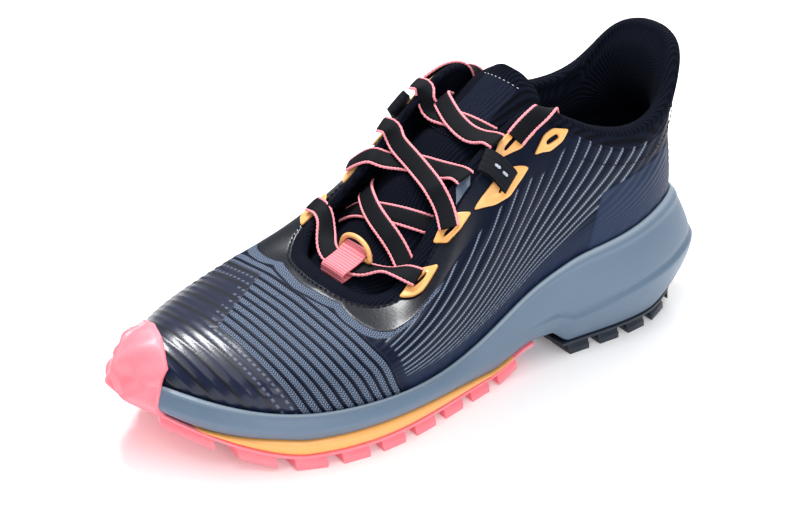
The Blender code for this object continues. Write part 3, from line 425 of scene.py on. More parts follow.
# The tongue's sections from its foot under the vamp to its top: along of SOLE_LENGTH,
# height of TAB_HEIGHT, half width of TONGUE_WIDTH, pad of TONGUE_PAD, fall of its edges of TONGUE_DROOP
TONGUE_COLUMNS = "along height half pad droop"
TONGUE = (
    (0.770, 0.361, 0.300, 0.45, 0.18),
    (0.735, 0.380, 0.400, 0.55, 0.24),
    (0.690, 0.392, 0.450, 0.70, 0.30),
    (0.640, 0.438, 0.455, 0.90, 0.40),
    (0.585, 0.546, 0.440, 1.00, 0.50),
    (0.530, 0.690, 0.420, 1.00, 0.52),
    (0.475, 0.800, 0.405, 1.00, 0.56),
    (0.430, 0.878, 0.370, 1.00, 0.52),
    (0.400, 0.933, 0.340, 1.00, 0.46),
    (0.382, 0.970, 0.305, 0.85, 0.36),
    (0.376, 0.990, 0.200, 0.55, 0.16),
)


@functools.lru_cache(maxsize=None)
def tongue_column(name, size):
    return column(TONGUE_COLUMNS, TONGUE, name) * size


@functools.lru_cache(maxsize=None)
def tongue_frames():
    """The tongue's spine, and the direction that its face looks in at each section."""
    spine = place(tongue_column("along", SOLE_LENGTH), -TONGUE_OFFSET, tongue_column("height", TAB_HEIGHT))
    slope = np.gradient(spine, axis=0)
    face = np.cross([1.0, 0.0, 0.0], slope)
    face *= np.sign(face[:, 2:3])
    return spine, unit(face)


# Where insert, treads and turned up rubber begin and end: shares of SOLE_LENGTH, or stations
INSERT_FROM = 0.44
INSERT_TO = 0.945
FORE_FROM = 0.395
HEEL_TO = 0.335
BUMPER_FROM = 15.0
BUMPER_TO = 53.0 / 3.0
BUMPER_WALL = 0.0022
BUMPER_REACH = 0.34
GUARD_HALF = 4.0 / 3.0
GUARD_WALL = 0.0012
TURN_ROOT = 0.003


# Points above the shoe's skins

def tongue_point(along, place_across, rise):
    """A point over the tongue's face and the direction that the face looks in there."""
    rows = tongue_column("along", SOLE_LENGTH)[::-1]
    spine, face = tongue_frames()
    middle = np.array([np.interp(along, rows, spine[::-1, k]) for k in range(3)])
    up = np.array([np.interp(along, rows, face[::-1, k]) for k in range(3)])
    half = np.interp(along, rows, tongue_column("half", TONGUE_WIDTH)[::-1])
    fall = np.interp(along, rows, tongue_column("droop", TONGUE_DROOP)[::-1])
    share = place_across / half
    facing = up + np.array([2.0 * fall * share / half, 0.0, 0.0])
    facing /= np.linalg.norm(facing)
    spot = middle + np.array([place_across, 0.0, 0.0]) - up * fall * share * share
    return spot + facing * rise, facing


def skin_point(skin, along, place_there, rise):
    """A point over one of the skins. place_there is across on the tongue, a turn on a crown, else a drop."""
    if skin == "tongue":
        return tongue_point(along, place_there * TONGUE_WIDTH, rise)
    side = 1 if skin.startswith("lateral") else -1
    station = edge_station(side, along)
    if skin.endswith("crown"):
        spot = crown_point(station, place_there, rise)
        return spot, spot - crown_point(station, place_there, rise - LACE_THICKNESS)
    share = share_below(station, place_there * EYESTAY_DEPTH)
    out = wall_normal(station, share)
    if skin.endswith("inside"):
        depth = float(wall_thickness(np.float64(station), np.float64(share)))
        return wall_point(station, share, -depth - rise), -out
    return wall_point(station, share, rise), out


# Eyelet patches of one side: patch, then its corners from the rear tip, along of SOLE_LENGTH and
# drop of EYESTAY_DEPTH
PATCH_CORNERS = {
    1: ((0.575, 0.467), (0.603, 0.467), (0.619, 0.353), (0.638, 0.160), (0.623, 0.103), (0.605, 0.097)),
    2: ((0.514, 0.493), (0.535, 0.497), (0.560, 0.380), (0.578, 0.117), (0.566, 0.100), (0.542, 0.200)),
    3: ((0.407, 0.680), (0.457, 0.420), (0.514, 0.480), (0.469, 0.783), (0.439, 0.897), (0.417, 0.777)),
    4: ((0.399, 0.100), (0.401, 0.260), (0.424, 0.380), (0.476, 0.200), (0.457, 0.055), (0.429, 0.050)),
    5: ((0.348, 0.070), (0.372, 0.150), (0.386, 0.273), (0.400, 0.547), (0.375, 0.463), (0.358, 0.270)),
}
SLOTS = {1: (0.607, 0.255), 2: (0.552, 0.300), 3: (0.452, 0.640), 4: (0.440, 0.190), 5: (0.374, 0.300)}


# Sections of folded webbing, outer and inner loop: share of its length, rise in webbing thicknesses
LOOP_ROOT = (0.447, 0.66)
LOOP_TIP = (0.487, 0.06)
LOOP_OUTER = (
    (0.0, 2.0), (0.6, 2.3), (0.92, 2.3), (1.0, 4.1), (0.92, 6.2), (0.6, 6.2), (0.3, 4.8), (0.0, 4.2))
LOOP_INNER = (
    (0.15, 3.1), (0.6, 3.3), (0.88, 3.3), (0.94, 4.1), (0.88, 5.2), (0.6, 5.2), (0.35, 3.8), (0.15, 3.4))
KEEPER_OUTER = (
    (0.0, 0.4), (0.46, 0.4), (0.93, 0.5), (1.02, 2.6), (0.93, 5.6), (0.46, 5.1), (0.10, 4.7), (0.0, 2.3))
KEEPER_INNER = (
    (0.06, 1.2), (0.46, 1.2), (0.90, 1.1), (0.965, 2.6), (0.90, 4.8), (0.46, 4.2), (0.10, 3.8), (0.06, 2.3))


# The lace's routes: skin, along of SOLE_LENGTH, place on that skin, rise in lace thicknesses
LOWER_UNDER = (
    ("tongue", 0.598, -0.41, 1.0), ("tongue", 0.588, -0.34, 1.0), ("tongue", 0.583, -0.12, 1.0),
    ("tongue", 0.575, 0.10, 1.0), ("tongue", 0.568, 0.28, 1.0), ("tongue", 0.565, 0.35, 1.0),
)
LOWER_OVER = (
    ("tongue", 0.562, -0.38, 1.0), ("tongue", 0.571, -0.26, 1.4), ("tongue", 0.583, -0.10, 1.85),
    ("tongue", 0.594, 0.08, 1.5), ("tongue", 0.598, 0.16, 1.0), ("tongue", 0.600, 0.21, 1.0),
)
MIDDLE_UNDER = (
    ("medial", 0.552, 0.30, 2.1), ("medial", 0.549, 0.12, 2.2), ("medial crown", 0.546, 0.50, 2.5),
    ("tongue", 0.540, -0.28, 4.4), ("tongue", 0.527, -0.12, 1.0), ("tongue", 0.520, 0.10, 1.0),
    ("tongue", 0.516, 0.23, 1.9), ("lateral crown", 0.515, 0.50, 1.6), ("lateral", 0.514, 0.06, 3.0),
)
MIDDLE_OVER = (
    ("tongue", 0.514, -0.28, 3.4), ("tongue", 0.516, -0.20, 2.2), ("tongue", 0.521, -0.10, 1.5),
    ("tongue", 0.529, 0.06, 1.85), ("tongue", 0.538, 0.23, 2.6),
    ("lateral crown", 0.546, 0.50, 1.5), ("lateral", 0.549, 0.12, 1.7), ("lateral", 0.552, 0.30, 2.1),
)
TOP_UNDER = (
    ("tongue", 0.465, -0.27, 3.4), ("tongue", 0.464, -0.20, 1.9),
    ("tongue", 0.462, -0.14, 1.0), ("tongue", 0.459, 0.02, 1.0), ("tongue", 0.456, 0.17, 1.0),
    ("tongue", 0.454, 0.26, 1.0),
)
TOP_OVER = (
    ("tongue", 0.434, -0.30, 1.0), ("tongue", 0.444, -0.19, 1.4), ("tongue", 0.458, -0.07, 1.85),
    ("tongue", 0.468, 0.10, 1.4), ("tongue", 0.471, 0.22, 2.4), ("lateral crown", 0.464, 0.50, 1.6),
    ("lateral", 0.461, 0.05, 3.0),
)
END_LATERAL = (
    ("lateral", 0.436, 0.19, 2.1), ("lateral", 0.422, 0.12, 1.9), ("lateral", 0.400, 0.05, 1.6),
    ("lateral crown", 0.380, 0.30, 1.1), ("lateral crown", 0.366, 0.70, 1.1),
    ("lateral inside", 0.357, 0.10, 1.1), ("lateral inside", 0.350, 0.40, 1.1),
    ("lateral inside", 0.343, 0.80, 1.1),
)
END_MEDIAL = (
    ("medial", 0.436, 0.19, 2.1), ("medial", 0.422, 0.10, 1.9), ("medial", 0.398, 0.05, 1.6),
    ("medial crown", 0.371, 0.30, 1.1), ("medial crown", 0.354, 0.70, 1.4),
    ("medial inside", 0.344, 0.10, 1.3), ("medial inside", 0.336, 0.40, 1.1),
    ("medial inside", 0.328, 0.80, 1.1),
)


# Where points of the skins are taken for the lace to lie on: stations from here round the throat,
# shares of the wall, turns over the crown, shares of SOLE_LENGTH and of TONGUE_WIDTH on the tongue
THROAT_FROM = 6.0
THROAT_COLUMNS = 260
THROAT_SHARES = np.linspace(0.6, 1.0, 12)
THROAT_TURNS = np.linspace(0.15, 1.0, 8)
TONGUE_ALONGS = np.linspace(0.38, 0.70, 50)
TONGUE_SHARES = np.linspace(-0.4, 0.4, 13)


def throat_skins(with_tongue):
    """Points on the skins that the lace lies on, and the directions that those skins face."""
    stations = np.linspace(THROAT_FROM, ROUND - THROAT_FROM, THROAT_COLUMNS)
    levels = [np.zeros_like(stations) + share for share in THROAT_SHARES]
    spots = [wall_point(stations, level) for level in levels]
    outs = [wall_normal(stations, level) for level in levels]
    for turn in THROAT_TURNS:
        spots.append(crown_point(stations, turn))
        outs.append(crown_point(stations, turn, 1.0) - spots[-1])
    if not with_tongue:
        for level in levels:
            spots.append(wall_point(stations, level, -wall_thickness(stations, level)))
            outs.append(-wall_normal(stations, level))
        return np.concatenate(spots), np.concatenate(outs)
    for along in TONGUE_ALONGS * SOLE_LENGTH:
        pairs = [tongue_point(along, across, 0.0) for across in TONGUE_SHARES * TONGUE_WIDTH]
        spots.append(np.array([spot for spot, _ in pairs]))
        outs.append(np.array([out for _, out in pairs]))
    return np.concatenate(spots), np.concatenate(outs)


def cubic_span(corners, steps):
    """Points of a smooth curve between the middle two of four corners."""
    a, b, c, d = corners
    return [0.5 * (2 * b + (c - a) * t + (2 * a - 5 * b + 4 * c - d) * t * t
                   + (3 * b - a - 3 * c + d) * t ** 3) for t in np.arange(steps) / steps]


def smooth_run(points, steps):
    """A smooth curve through points, with steps to each span."""
    points = np.asarray(points)
    padded = np.concatenate([[2 * points[0] - points[1]], points, [2 * points[-1] - points[-2]]])
    run = [spot for k in range(len(points) - 1) for spot in cubic_span(padded[k:k + 4], steps)]
    return np.array(run + [points[-1]])


# Meshes

def add_to_scene(name, data):
    made = bpy.data.objects.new(name, data)
    bpy.context.scene.collection.objects.link(made)
    return made


def ring_quads(rows, columns, closed_rows, closed_columns):
    """Faces of a grid of points whose rows and columns may run round."""
    row = np.arange(rows if closed_rows else rows - 1)[:, None]
    col = np.arange(columns if closed_columns else columns - 1)[None, :]
    next_row = (row + 1) % rows
    next_col = (col + 1) % columns
    quads = np.stack([row * columns + col, row * columns + next_col,
                      next_row * columns + next_col, next_row * columns + col], axis=-1)
    return quads.reshape(-1, 4).tolist()


class Shape:
    """Points and faces gathered for one piece, each face with the number of its finish."""

    def __init__(self):
        self.points = []
        self.faces = []
        self.marks = []
        self.fields = {}

    def add(self, points, faces, mark=0):
        start = len(self.points)
        self.points += np.asarray(points).reshape(-1, 3).tolist()
        self.faces += [[corner + start for corner in face] for face in faces]
        self.marks += [mark] * len(faces)
        return self

    def tube(self, rings, mark=0):
        """A run of closed rings with its two ends shut."""
        rings = np.asarray(rings)
        rows, columns = rings.shape[:2]
        faces = ring_quads(rows, columns, False, True)
        faces.append(list(range(columns)))
        faces.append(list(range((rows - 1) * columns, rows * columns)))
        return self.add(rings, faces, mark)

    def loop(self, rings, mark=0):
        """Closed rings whose last joins their first."""
        rings = np.asarray(rings)
        return self.add(rings, ring_quads(rings.shape[0], rings.shape[1], True, True), mark)

    def slab(self, outer, inner, mark=0):
        """A closed sheet between two grids of the same size."""
        rows, columns = outer.shape[:2]
        count = rows * columns
        skin = ring_quads(rows, columns, False, False)
        faces = skin + [[corner + count for corner in reversed(face)] for face in skin]
        border = list(range(columns))
        border += [r * columns + columns - 1 for r in range(1, rows)]
        border += [(rows - 1) * columns + c for c in range(columns - 2, -1, -1)]
        border += [r * columns for r in range(rows - 2, 0, -1)]
        for k, a in enumerate(border):
            b = border[(k + 1) % len(border)]
            faces.append([a, b, count + b, count + a])
        return self.add(np.concatenate([outer.reshape(-1, 3), inner.reshape(-1, 3)]), faces, mark)

    def field(self, name, values):
        self.fields[name] = np.asarray(values, float).ravel()
        return self

    def make(self, name, finishes, sharp=60.0):
        mesh = bpy.data.meshes.new(name)
        mesh.from_pydata(self.points, [], self.faces)
        mesh.polygons.foreach_set("material_index", self.marks)
        for label, values in self.fields.items():
            layer = mesh.attributes.new(label, "FLOAT", "POINT")
            layer.data.foreach_set("value", values.astype(np.float32))
        for finish in finishes:
            mesh.materials.append(finish)
        work = bmesh.new()
        work.from_mesh(mesh)
        bmesh.ops.recalc_face_normals(work, faces=work.faces)
        work.to_mesh(mesh)
        work.free()
        mesh.shade_smooth()
        mesh.set_sharp_from_angle(angle=math.radians(sharp))
        return add_to_scene(name, mesh)


def plain_mesh(made):
    """Leaves an object with its modifiers' result as a plain mesh."""
    bpy.context.view_layer.update()
    source = made.evaluated_get(bpy.context.evaluated_depsgraph_get())
    mesh = bpy.data.meshes.new_from_object(source)
    made.modifiers.clear()
    made.data = mesh
    return made


def on_shoe(made, slot, *nodes, body="shoe"):
    """The piece rides on its body and stands for its nodes; slot is not used."""
    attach(made, body)
    if nodes:
        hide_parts(*nodes)
    return made


# Finishes

def colour(code):
    """A screen colour such as #7B93A9 as the shader's linear values."""
    parts = [int(code[k:k + 2], 16) / 255.0 for k in (1, 3, 5)]
    return tuple(p / 12.92 if p <= 0.04045 else ((p + 0.055) / 1.055) ** 2.4 for p in parts)


class Finish:
    """One material, with short calls that add and join its shader's nodes."""

    def __init__(self, name, base, roughness):
        self.material = bpy.data.materials.new(name)
        self.material.use_nodes = True
        self.tree = self.material.node_tree
        self.shader = self.tree.nodes["Principled BSDF"]
        self.set("Base Color", colour(base))
        self.set("Roughness", roughness)

    def put(self, value, socket):
        if isinstance(value, bpy.types.NodeSocket):
            self.tree.links.new(value, socket)
        elif socket.type == "RGBA":
            socket.default_value = (*value, 1.0)
        else:
            socket.default_value = value

    def set(self, name, value):
        self.put(value, self.shader.inputs[name])
        return self

    def node(self, kind, **settings):
        made = self.tree.nodes.new(kind)
        for name, value in settings.items():
            setattr(made, name, value)
        return made

    def math(self, operation, a, b=0.0, c=0.0):
        made = self.node("ShaderNodeMath", operation=operation)
        for value, socket in zip((a, b, c), made.inputs):
            self.put(value, socket)
        return made.outputs[0]

    def plus(self, a, b):
        return self.math("ADD", a, b)

    def minus(self, a, b):
        return self.math("SUBTRACT", a, b)

    def times(self, *values):
        result = values[0]
        for value in values[1:]:
            result = self.math("MULTIPLY", result, value)
        return result

    def field(self, name):
        return self.node("ShaderNodeAttribute", attribute_name=name).outputs["Fac"]

    def axes(self):
        split = self.node("ShaderNodeSeparateXYZ")
        self.put(self.node("ShaderNodeTexCoord").outputs["Object"], split.inputs[0])
        return split.outputs

    def step(self, value, edge, soft):
        """0 below the edge and 1 above it, over a soft band."""
        made = self.node("ShaderNodeMapRange", interpolation_type="SMOOTHSTEP")
        for number, given in enumerate((value, edge - soft, edge + soft, 0.0, 1.0)):
            self.put(given, made.inputs[number])
        return made.outputs[0]

    def within(self, value, low, high, soft):
        return self.minus(self.step(value, low, soft), self.step(value, high, soft))

    def invert(self, value):
        return self.minus(1.0, value)

    def ripple(self, value, pitch):
        """A wave from 0 to 1 and back over each pitch."""
        turn = self.math("MULTIPLY", value, math.tau / pitch)
        return self.math("MULTIPLY_ADD", self.math("COSINE", turn), 0.5, 0.5)

    def share(self, value, pitch):
        """How far into its pitch a value is, 0 to 1."""
        return self.math("FRACT", self.math("DIVIDE", value, pitch))

    def mix(self, share, a, b):
        made = self.node("ShaderNodeMix", data_type="RGBA")
        self.put(share, made.inputs[0])
        self.put(colour(a) if isinstance(a, str) else a, made.inputs[6])
        self.put(colour(b) if isinstance(b, str) else b, made.inputs[7])
        return made.outputs[2]

    def noise(self, scale, detail=2.0):
        made = self.node("ShaderNodeTexNoise")
        self.put(self.node("ShaderNodeTexCoord").outputs["Object"], made.inputs["Vector"])
        self.put(scale, made.inputs["Scale"])
        self.put(detail, made.inputs["Detail"])
        return made.outputs[0]

    def bump(self, height, distance, strength=1.0):
        made = self.node("ShaderNodeBump")
        self.put(height, made.inputs["Height"])
        self.put(distance, made.inputs["Distance"])
        self.put(strength, made.inputs["Strength"])
        self.set("Normal", made.outputs[0])
        return self

    def range(self, value, low, high):
        """A value from 0 to 1 spread between two levels."""
        return self.math("MULTIPLY_ADD", value, high - low, low)


# Pitches of the upper's stripes and lines, and where they begin and end
VAMP_PITCH = 0.00425
VAMP_FIRST = 0.2035
VAMP_LAST = 0.2465
QUARTER_PITCH = 0.0093
QUARTER_FIRST = 0.196
QUARTER_LAST = 0.352
RING_BAND = 0.0042
KNIT_GRAIN = 0.00095
# Shares of the pitch that the vamp's light stripe and its groove take
STRIPE = (0.30, 0.93)
GROOVE = (0.12, 0.22)


# Colours of the upper: of a place, or of its darkest and palest spots
FILM = ("#050B1A", "#091226")
HIGH_FILM = "#121D36"
LOW_FILM = "#1A2640"
HEEL_PANEL = "#26344F"
TROUGH = "#090F1D"
FINE_LINES = "#8A97AA"
TOE_FILM = ("#09132C", "#0E1A38")
TOE_RIB = "#080E1B"
FADING_DASHES = "#717D90"
BETWEEN_STRIPES = "#111A2E"
# Painted shade: the floor of each groove between the vamp's stripes is coloured darker, as if shaded
PAINTED_GROOVE_SHADE = "#050912"
LIGHT_MESH = ("#212C40", "#8593A9")
RING_COLOUR = "#040A1A"
BAND_KNIT = ("#04070E", "#0F1526")


def upper_finish():
    """Film and mesh of the outer face: stripes over the vamp, fine lines over the quarters."""
    f = Finish("upper_mesh_and_film", "#1A2740", 0.5)
    z = f.axes()[2]
    vamp, quarter, ring = f.field("vamp"), f.field("quarter"), f.field("ring")
    toe, heel, knit = f.field("toe_film"), f.field("heel_panel"), f.field("knit_band")
    up, girth, flow = f.field("up"), f.field("girth"), f.field("flow")

    chevron = f.math("PINGPONG", vamp, VAMP_PITCH * 0.25)
    zigzag = f.ripple(f.plus(girth, chevron), KNIT_GRAIN * 1.25)
    grain = f.times(zigzag, f.range(f.ripple(vamp, KNIT_GRAIN), 0.45, 1.0))

    in_vamp = f.times(f.within(vamp, VAMP_FIRST, VAMP_LAST, 0.0006), f.invert(f.step(toe, 0.0, 0.0012)),
                      f.step(ring, RING_BAND + 0.0012, 0.0003))
    place_in_pitch = f.share(f.minus(vamp, VAMP_FIRST), VAMP_PITCH)
    light = f.within(place_in_pitch, *STRIPE, 0.035)
    groove = f.within(place_in_pitch, *GROOVE, 0.03)
    dashes = f.step(f.ripple(girth, 0.0032), 0.45, 0.12)
    fading = f.times(f.within(toe, 0.0, 0.009, 0.0008), dashes, f.within(place_in_pitch, 0.35, 0.6, 0.05),
                     f.step(vamp, VAMP_FIRST, 0.001))
    band = f.times(f.within(ring, 0.0003, RING_BAND, 0.0002), f.step(vamp, 0.170, 0.003))
    mesh_light = f.math("MAXIMUM", f.times(in_vamp, light), band)

    in_quarter = f.times(f.invert(f.step(vamp, 0.1985, 0.0008)), f.step(ring, 0.0016, 0.0008),
                         f.within(quarter, QUARTER_FIRST, QUARTER_LAST, 0.002),
                         f.invert(f.step(heel, 0.0, 0.01)), f.step(up, 0.0065, 0.001))
    line_place = f.share(quarter, QUARTER_PITCH)
    line_width = f.step(up, 0.030, 0.022)
    line = f.minus(f.step(line_place, 0.42, 0.04),
                  f.step(f.minus(line_place, f.range(line_width, 0.22, 0.0)), 0.56, 0.04))
    dotted = f.range(f.ripple(flow, 0.0013), 0.35, 1.0)
    lines = f.times(in_quarter, line, dotted)
    trough = f.times(in_quarter, f.within(line_place, 0.05, 0.2, 0.05), f.invert(line_width))

    low_film = f.times(f.invert(f.step(up, 0.012, 0.007)), f.invert(f.step(vamp, 0.200, 0.004)))
    cloudy = f.noise(55.0, 3.0)
    base = f.mix(f.range(cloudy, 0.0, 0.5), *FILM)
    base = f.mix(f.times(f.step(up, 0.026, 0.02), 0.25), f.mix(0.45, base, HIGH_FILM), base)
    base = f.mix(low_film, base, LOW_FILM)
    base = f.mix(f.times(f.step(heel, 0.0, 0.012), 0.85), base, HEEL_PANEL)
    base = f.mix(trough, base, TROUGH)
    base = f.mix(lines, base, FINE_LINES)
    on_toe = f.math("MAXIMUM", f.step(toe, 0.0, 0.0012), f.step(vamp, VAMP_LAST, 0.001))
    toe_rib = f.times(on_toe, f.within(f.math("PINGPONG", f.minus(vamp, VAMP_FIRST), VAMP_PITCH),
                                       -0.001, 0.0009, 0.0004))
    base = f.mix(on_toe, base, f.mix(cloudy, *TOE_FILM))
    base = f.mix(toe_rib, base, TOE_RIB)
    base = f.mix(f.times(fading, 0.55), base, FADING_DASHES)
    base = f.mix(f.times(in_vamp, f.invert(light)), base, BETWEEN_STRIPES)
    # Painted shade: the grooves between the vamp's stripes are darkened
    base = f.mix(f.times(in_vamp, groove), base, PAINTED_GROOVE_SHADE)
    base = f.mix(mesh_light, base, f.mix(grain, *LIGHT_MESH))
    in_ring = f.times(f.invert(f.step(ring, 0.0, 0.0002)), f.step(vamp, 0.150, 0.012))
    base = f.mix(in_ring, base, RING_COLOUR)
    in_knit = f.step(knit, 0.0, 0.0003)
    ribs = f.ripple(f.plus(girth, f.math("MULTIPLY", z, 0.8)), KNIT_GRAIN * 1.2)
    base = f.mix(in_knit, base, f.mix(ribs, *BAND_KNIT))
    f.set("Base Color", base)

    glossy = f.times(f.math("MAXIMUM", on_toe, in_ring), f.invert(in_knit))
    rough = f.minus(f.range(mesh_light, 0.42, 0.75), f.times(glossy, 0.13))
    rough = f.math("MAXIMUM", rough, f.times(in_knit, 0.85))
    f.set("Roughness", f.math("MULTIPLY_ADD", cloudy, 0.08, rough))
    f.set("Specular IOR Level", f.range(glossy, 0.1, 0.3))
    f.set("Coat Weight", f.times(glossy, f.range(on_toe, 0.08, 0.22)))
    f.set("Coat Roughness", 0.13)
    height = f.plus(f.times(mesh_light, f.range(grain, 0.5, 1.0)), f.times(lines, 0.7))
    height = f.plus(height, f.times(f.noise(900.0), 0.18))
    height = f.minus(height, f.times(in_vamp, groove))
    height = f.plus(height, f.times(in_knit, ribs, 0.8))
    f.bump(height, 0.00028)
    return f.material


def knit_finish(name, dark, pale, pitch, lean):
    """Diagonal-ribbed knit: ribs run over the pad at a slant, crossed by fine courses."""
    f = Finish(name, dark, 0.85)
    x, y, z = f.axes()
    run = f.minus(f.times(z, 0.75), f.times(y, 0.65))
    slant = f.plus(x, f.times(run, lean))
    rib = f.ripple(slant, pitch)
    course = f.ripple(f.minus(run, f.times(x, 0.4)), pitch * 0.8)
    weave = f.times(rib, f.range(course, 0.55, 1.0))
    f.set("Base Color", f.mix(weave, dark, pale))
    f.set("Specular IOR Level", 0.08)
    f.bump(f.plus(weave, f.times(f.noise(1400.0), 0.3)), 0.00035)
    return f


def tongue_finish():
    f = knit_finish("tongue_knit", "#03050C", "#0D1425", 0.00125, 1.0)
    label = f.step(f.field("label"), 0.0, 0.0002)
    seam = f.within(f.field("seam"), -0.0005, 0.0005, 0.0002)
    knit = f.shader.inputs["Base Color"].links[0].from_socket
    plain = f.mix(f.noise(500.0), "#0E1524", "#151D2F")
    f.set("Base Color", f.mix(seam, f.mix(label, knit, plain), "#060912"))
    f.set("Roughness", f.range(label, 0.9, 0.75))
    return f.material


def foam_finish():
    """Moulded foam: a satin skin with a fine pebble, painted shade darkening it low down and a painted
    highlight along the rim's edge.
    """
    f = Finish("slate_foam", "#7B93A9", 0.48)
    cloud = f.noise(38.0, 3.0)
    fine = f.noise(1500.0)
    z = f.axes()[2]
    # Painted shade: the foam is coloured darker low down, towards the floor.
    low = f.invert(f.step(z, 0.016, 0.014))
    base = f.mix(cloud, "#5A6F84", "#677C92")
    base = f.mix(f.times(low, 0.35), base, "#4F6379")
    # Painted highlight: the edge field lightens the foam along the rim's rounded edge.
    f.set("Base Color", f.mix(f.times(f.field("edge"), 0.75), base, "#A9B8C6"))
    f.set("Roughness", f.range(cloud, 0.40, 0.52))
    f.set("Coat Weight", 0.08).set("Coat Roughness", 0.35)
    f.bump(fine, 0.00008)
    return f.material


def rubber_finish(name, base, shade, pitch):
    f = Finish(name, base, 0.42)
    cloud = f.noise(60.0, 3.0)
    x, y = f.axes()[:2]
    texture = f.times(f.ripple(f.plus(x, y), pitch), f.ripple(f.minus(x, y), pitch))
    worn = f.step(f.noise(210.0, 4.0), 0.66, 0.06)
    f.set("Base Color", f.mix(f.times(cloud, 0.7), base, shade))
    f.set("Roughness", f.plus(f.range(cloud, 0.34, 0.46), f.times(worn, 0.15)))
    f.set("Coat Weight", 0.1).set("Coat Roughness", 0.3)
    f.bump(f.plus(f.times(texture, 0.35), f.times(f.noise(700.0), 0.5)), 0.00012)
    return f.material


def film_finish(name, base, shade):
    f = Finish(name, base, 0.32)
    cloud = f.noise(120.0, 2.0)
    f.set("Base Color", f.mix(f.times(cloud, 0.6), base, shade))
    f.set("Coat Weight", 0.25).set("Coat Roughness", 0.15)
    f.bump(f.noise(1000.0), 0.00005)
    return f.material


def woven_finish(name, dark, pale, pitch, cross):
    """Woven tape: picks across its width and ends along its run, from the piece's own fields."""
    f = Finish(name, dark, 0.8)
    picks = f.ripple(f.field("run"), pitch)
    ends = f.ripple(f.field("across"), cross)
    weave = f.times(f.range(picks, 0.25, 1.0), f.range(ends, 0.5, 1.0))
    f.set("Base Color", f.mix(weave, dark, pale))
    f.set("Specular IOR Level", 0.25)
    f.bump(f.plus(weave, f.times(f.noise(1600.0), 0.25)), 0.00025)
    return f.material


def yarn_finish(name, base, shade, roughness=0.7):
    f = Finish(name, base, roughness)
    f.set("Base Color", f.mix(f.noise(900.0, 3.0), base, shade))
    f.set("Specular IOR Level", 0.14)
    f.bump(f.noise(2200.0), 0.0001)
    return f.material


# The upper

UPPER_COLUMNS = 640
UPPER_ROWS = 104
# Stations from the toe: width of the film ring round the throat, measured down from the edge
FILM_RING = (
    (0.0, 0.0088), (1.2, 0.0082), (2.3, 0.0078), (3.0, 0.0140), (3.7, 0.0202), (4.3, 0.0246),
    (4.8, 0.0252), (5.2, 0.0235), (5.6, 0.0262), (6.6, 0.0270), (7.8, 0.0262), (8.6, 0.0215),
    (9.1, 0.0120), (9.5, 0.0035), (10.0, 0.0010), (16.0, 0.0010),
)
# Stations from the heel: depth of the knit band below the edge
KNIT_BAND = (
    (0.0, 0.0300), (0.8, 0.0260), (1.6, 0.0150), (2.4, 0.0085), (3.4, 0.0060), (4.6, 0.0045),
    (6.0, 0.0032), (7.5, 0.0040), (11.0, 0.0048), (16.0, 0.0044),
)
# Creases: middle along and height, half length, half width, depth, slope down towards the toe
CREASES = (
    (0.196, 0.040, 0.017, 0.0030, -0.0007, 0.15), (0.186, 0.048, 0.014, 0.0026, -0.0005, 0.25),
    (0.209, 0.036, 0.013, 0.0028, -0.0005, 0.10), (0.150, 0.060, 0.016, 0.0032, -0.0006, 0.55),
    (0.118, 0.066, 0.018, 0.0036, -0.0006, 0.70), (0.084, 0.060, 0.016, 0.0040, -0.0005, 0.80),
    (0.050, 0.074, 0.012, 0.0034, -0.0006, 0.35), (0.066, 0.081, 0.012, 0.0030, 0.0005, 0.40),
)


# Stripes over the vamp sweep back low down: how far, and the height over which that fades
VAMP_SWEEP = (0.013, 0.017)
# Lines over the quarter fan out with height: spread, lowest height, height and place where they start
QUARTER_FAN = (0.041, 0.004, 0.060, 0.1679)
# The toe's film reaches further back on the medial side: slope, where it starts, at most
MEDIAL_SWEEP = (1.6, 0.0054, 0.036)
# Heel panel: top as a share of the wall, how it falls away, its middle station; slope and end stations
PANEL_TOP = (0.64, 0.07, 3.6)
PANEL_ENDS = (0.35, 1.7, 4.9)
# Heights of the relief
MESH_WAVE = 0.00022
FILM_RIB = 0.00024
RING_FILM = 0.00030
QUARTER_WAVE = 0.00012
PANEL_RISE = 0.00035
ROLLED_EDGE = 0.0008
ROLL_WIDTH = 0.0045
SEAM_GROOVE = (0.00045, 0.0007)
TAB_RIBS = (0.00045, 0.0036)
INNER_ROWS = 34
CROWN_ROWS = 10


def table_curve(rows, value):
    return np.interp(value, [row[0] for row in rows], [row[1] for row in rows])


def upper_fields(stations, shares):
    """Places on the outer face that its finish and its relief follow."""
    points = wall_point(stations, shares)
    steps = np.linalg.norm(np.diff(points, axis=0), axis=2)
    rise = np.concatenate([np.zeros((1, points.shape[1])), np.cumsum(steps, axis=0)])
    rim_row = np.argmin(abs(shares[:, 0]))
    fields = {"up": rise - rise[rim_row], "drop": rise[-1] - rise}
    from_toe = abs(stations - TOE)
    from_heel = TOE - from_toe
    along = HEEL_REST - points[..., 1]
    up = np.maximum(fields["up"], 0.0)
    across, height = points[..., 0], points[..., 2]
    sweep, fade = VAMP_SWEEP
    fields["vamp"] = along + sweep * np.exp(-up / fade)
    spread, lowest, level, start = QUARTER_FAN
    fields["quarter"] = along + spread * np.log(np.maximum(up, lowest) / level) + start
    fields["ring"] = fields["drop"] - table_curve(FILM_RING, from_toe)
    fields["knit_band"] = table_curve(KNIT_BAND, from_heel) - fields["drop"]
    slope, start, most = MEDIAL_SWEEP
    medial_sweep = slope * np.maximum(start - across, 0.0)
    fields["toe_film"] = fields["vamp"] + np.minimum(medial_sweep, most) - VAMP_LAST
    top, fall, middle = PANEL_TOP
    slope, rear, front = PANEL_ENDS
    fields["heel_panel"] = np.minimum(top - fall * (from_heel - middle) ** 2 - shares,
                                      slope * np.minimum(from_heel - rear, front - from_heel))
    fields["girth"] = across + np.sign(across) * 0.9 * (0.048 - height)
    fields["flow"] = along - 0.7 * up
    return points, fields


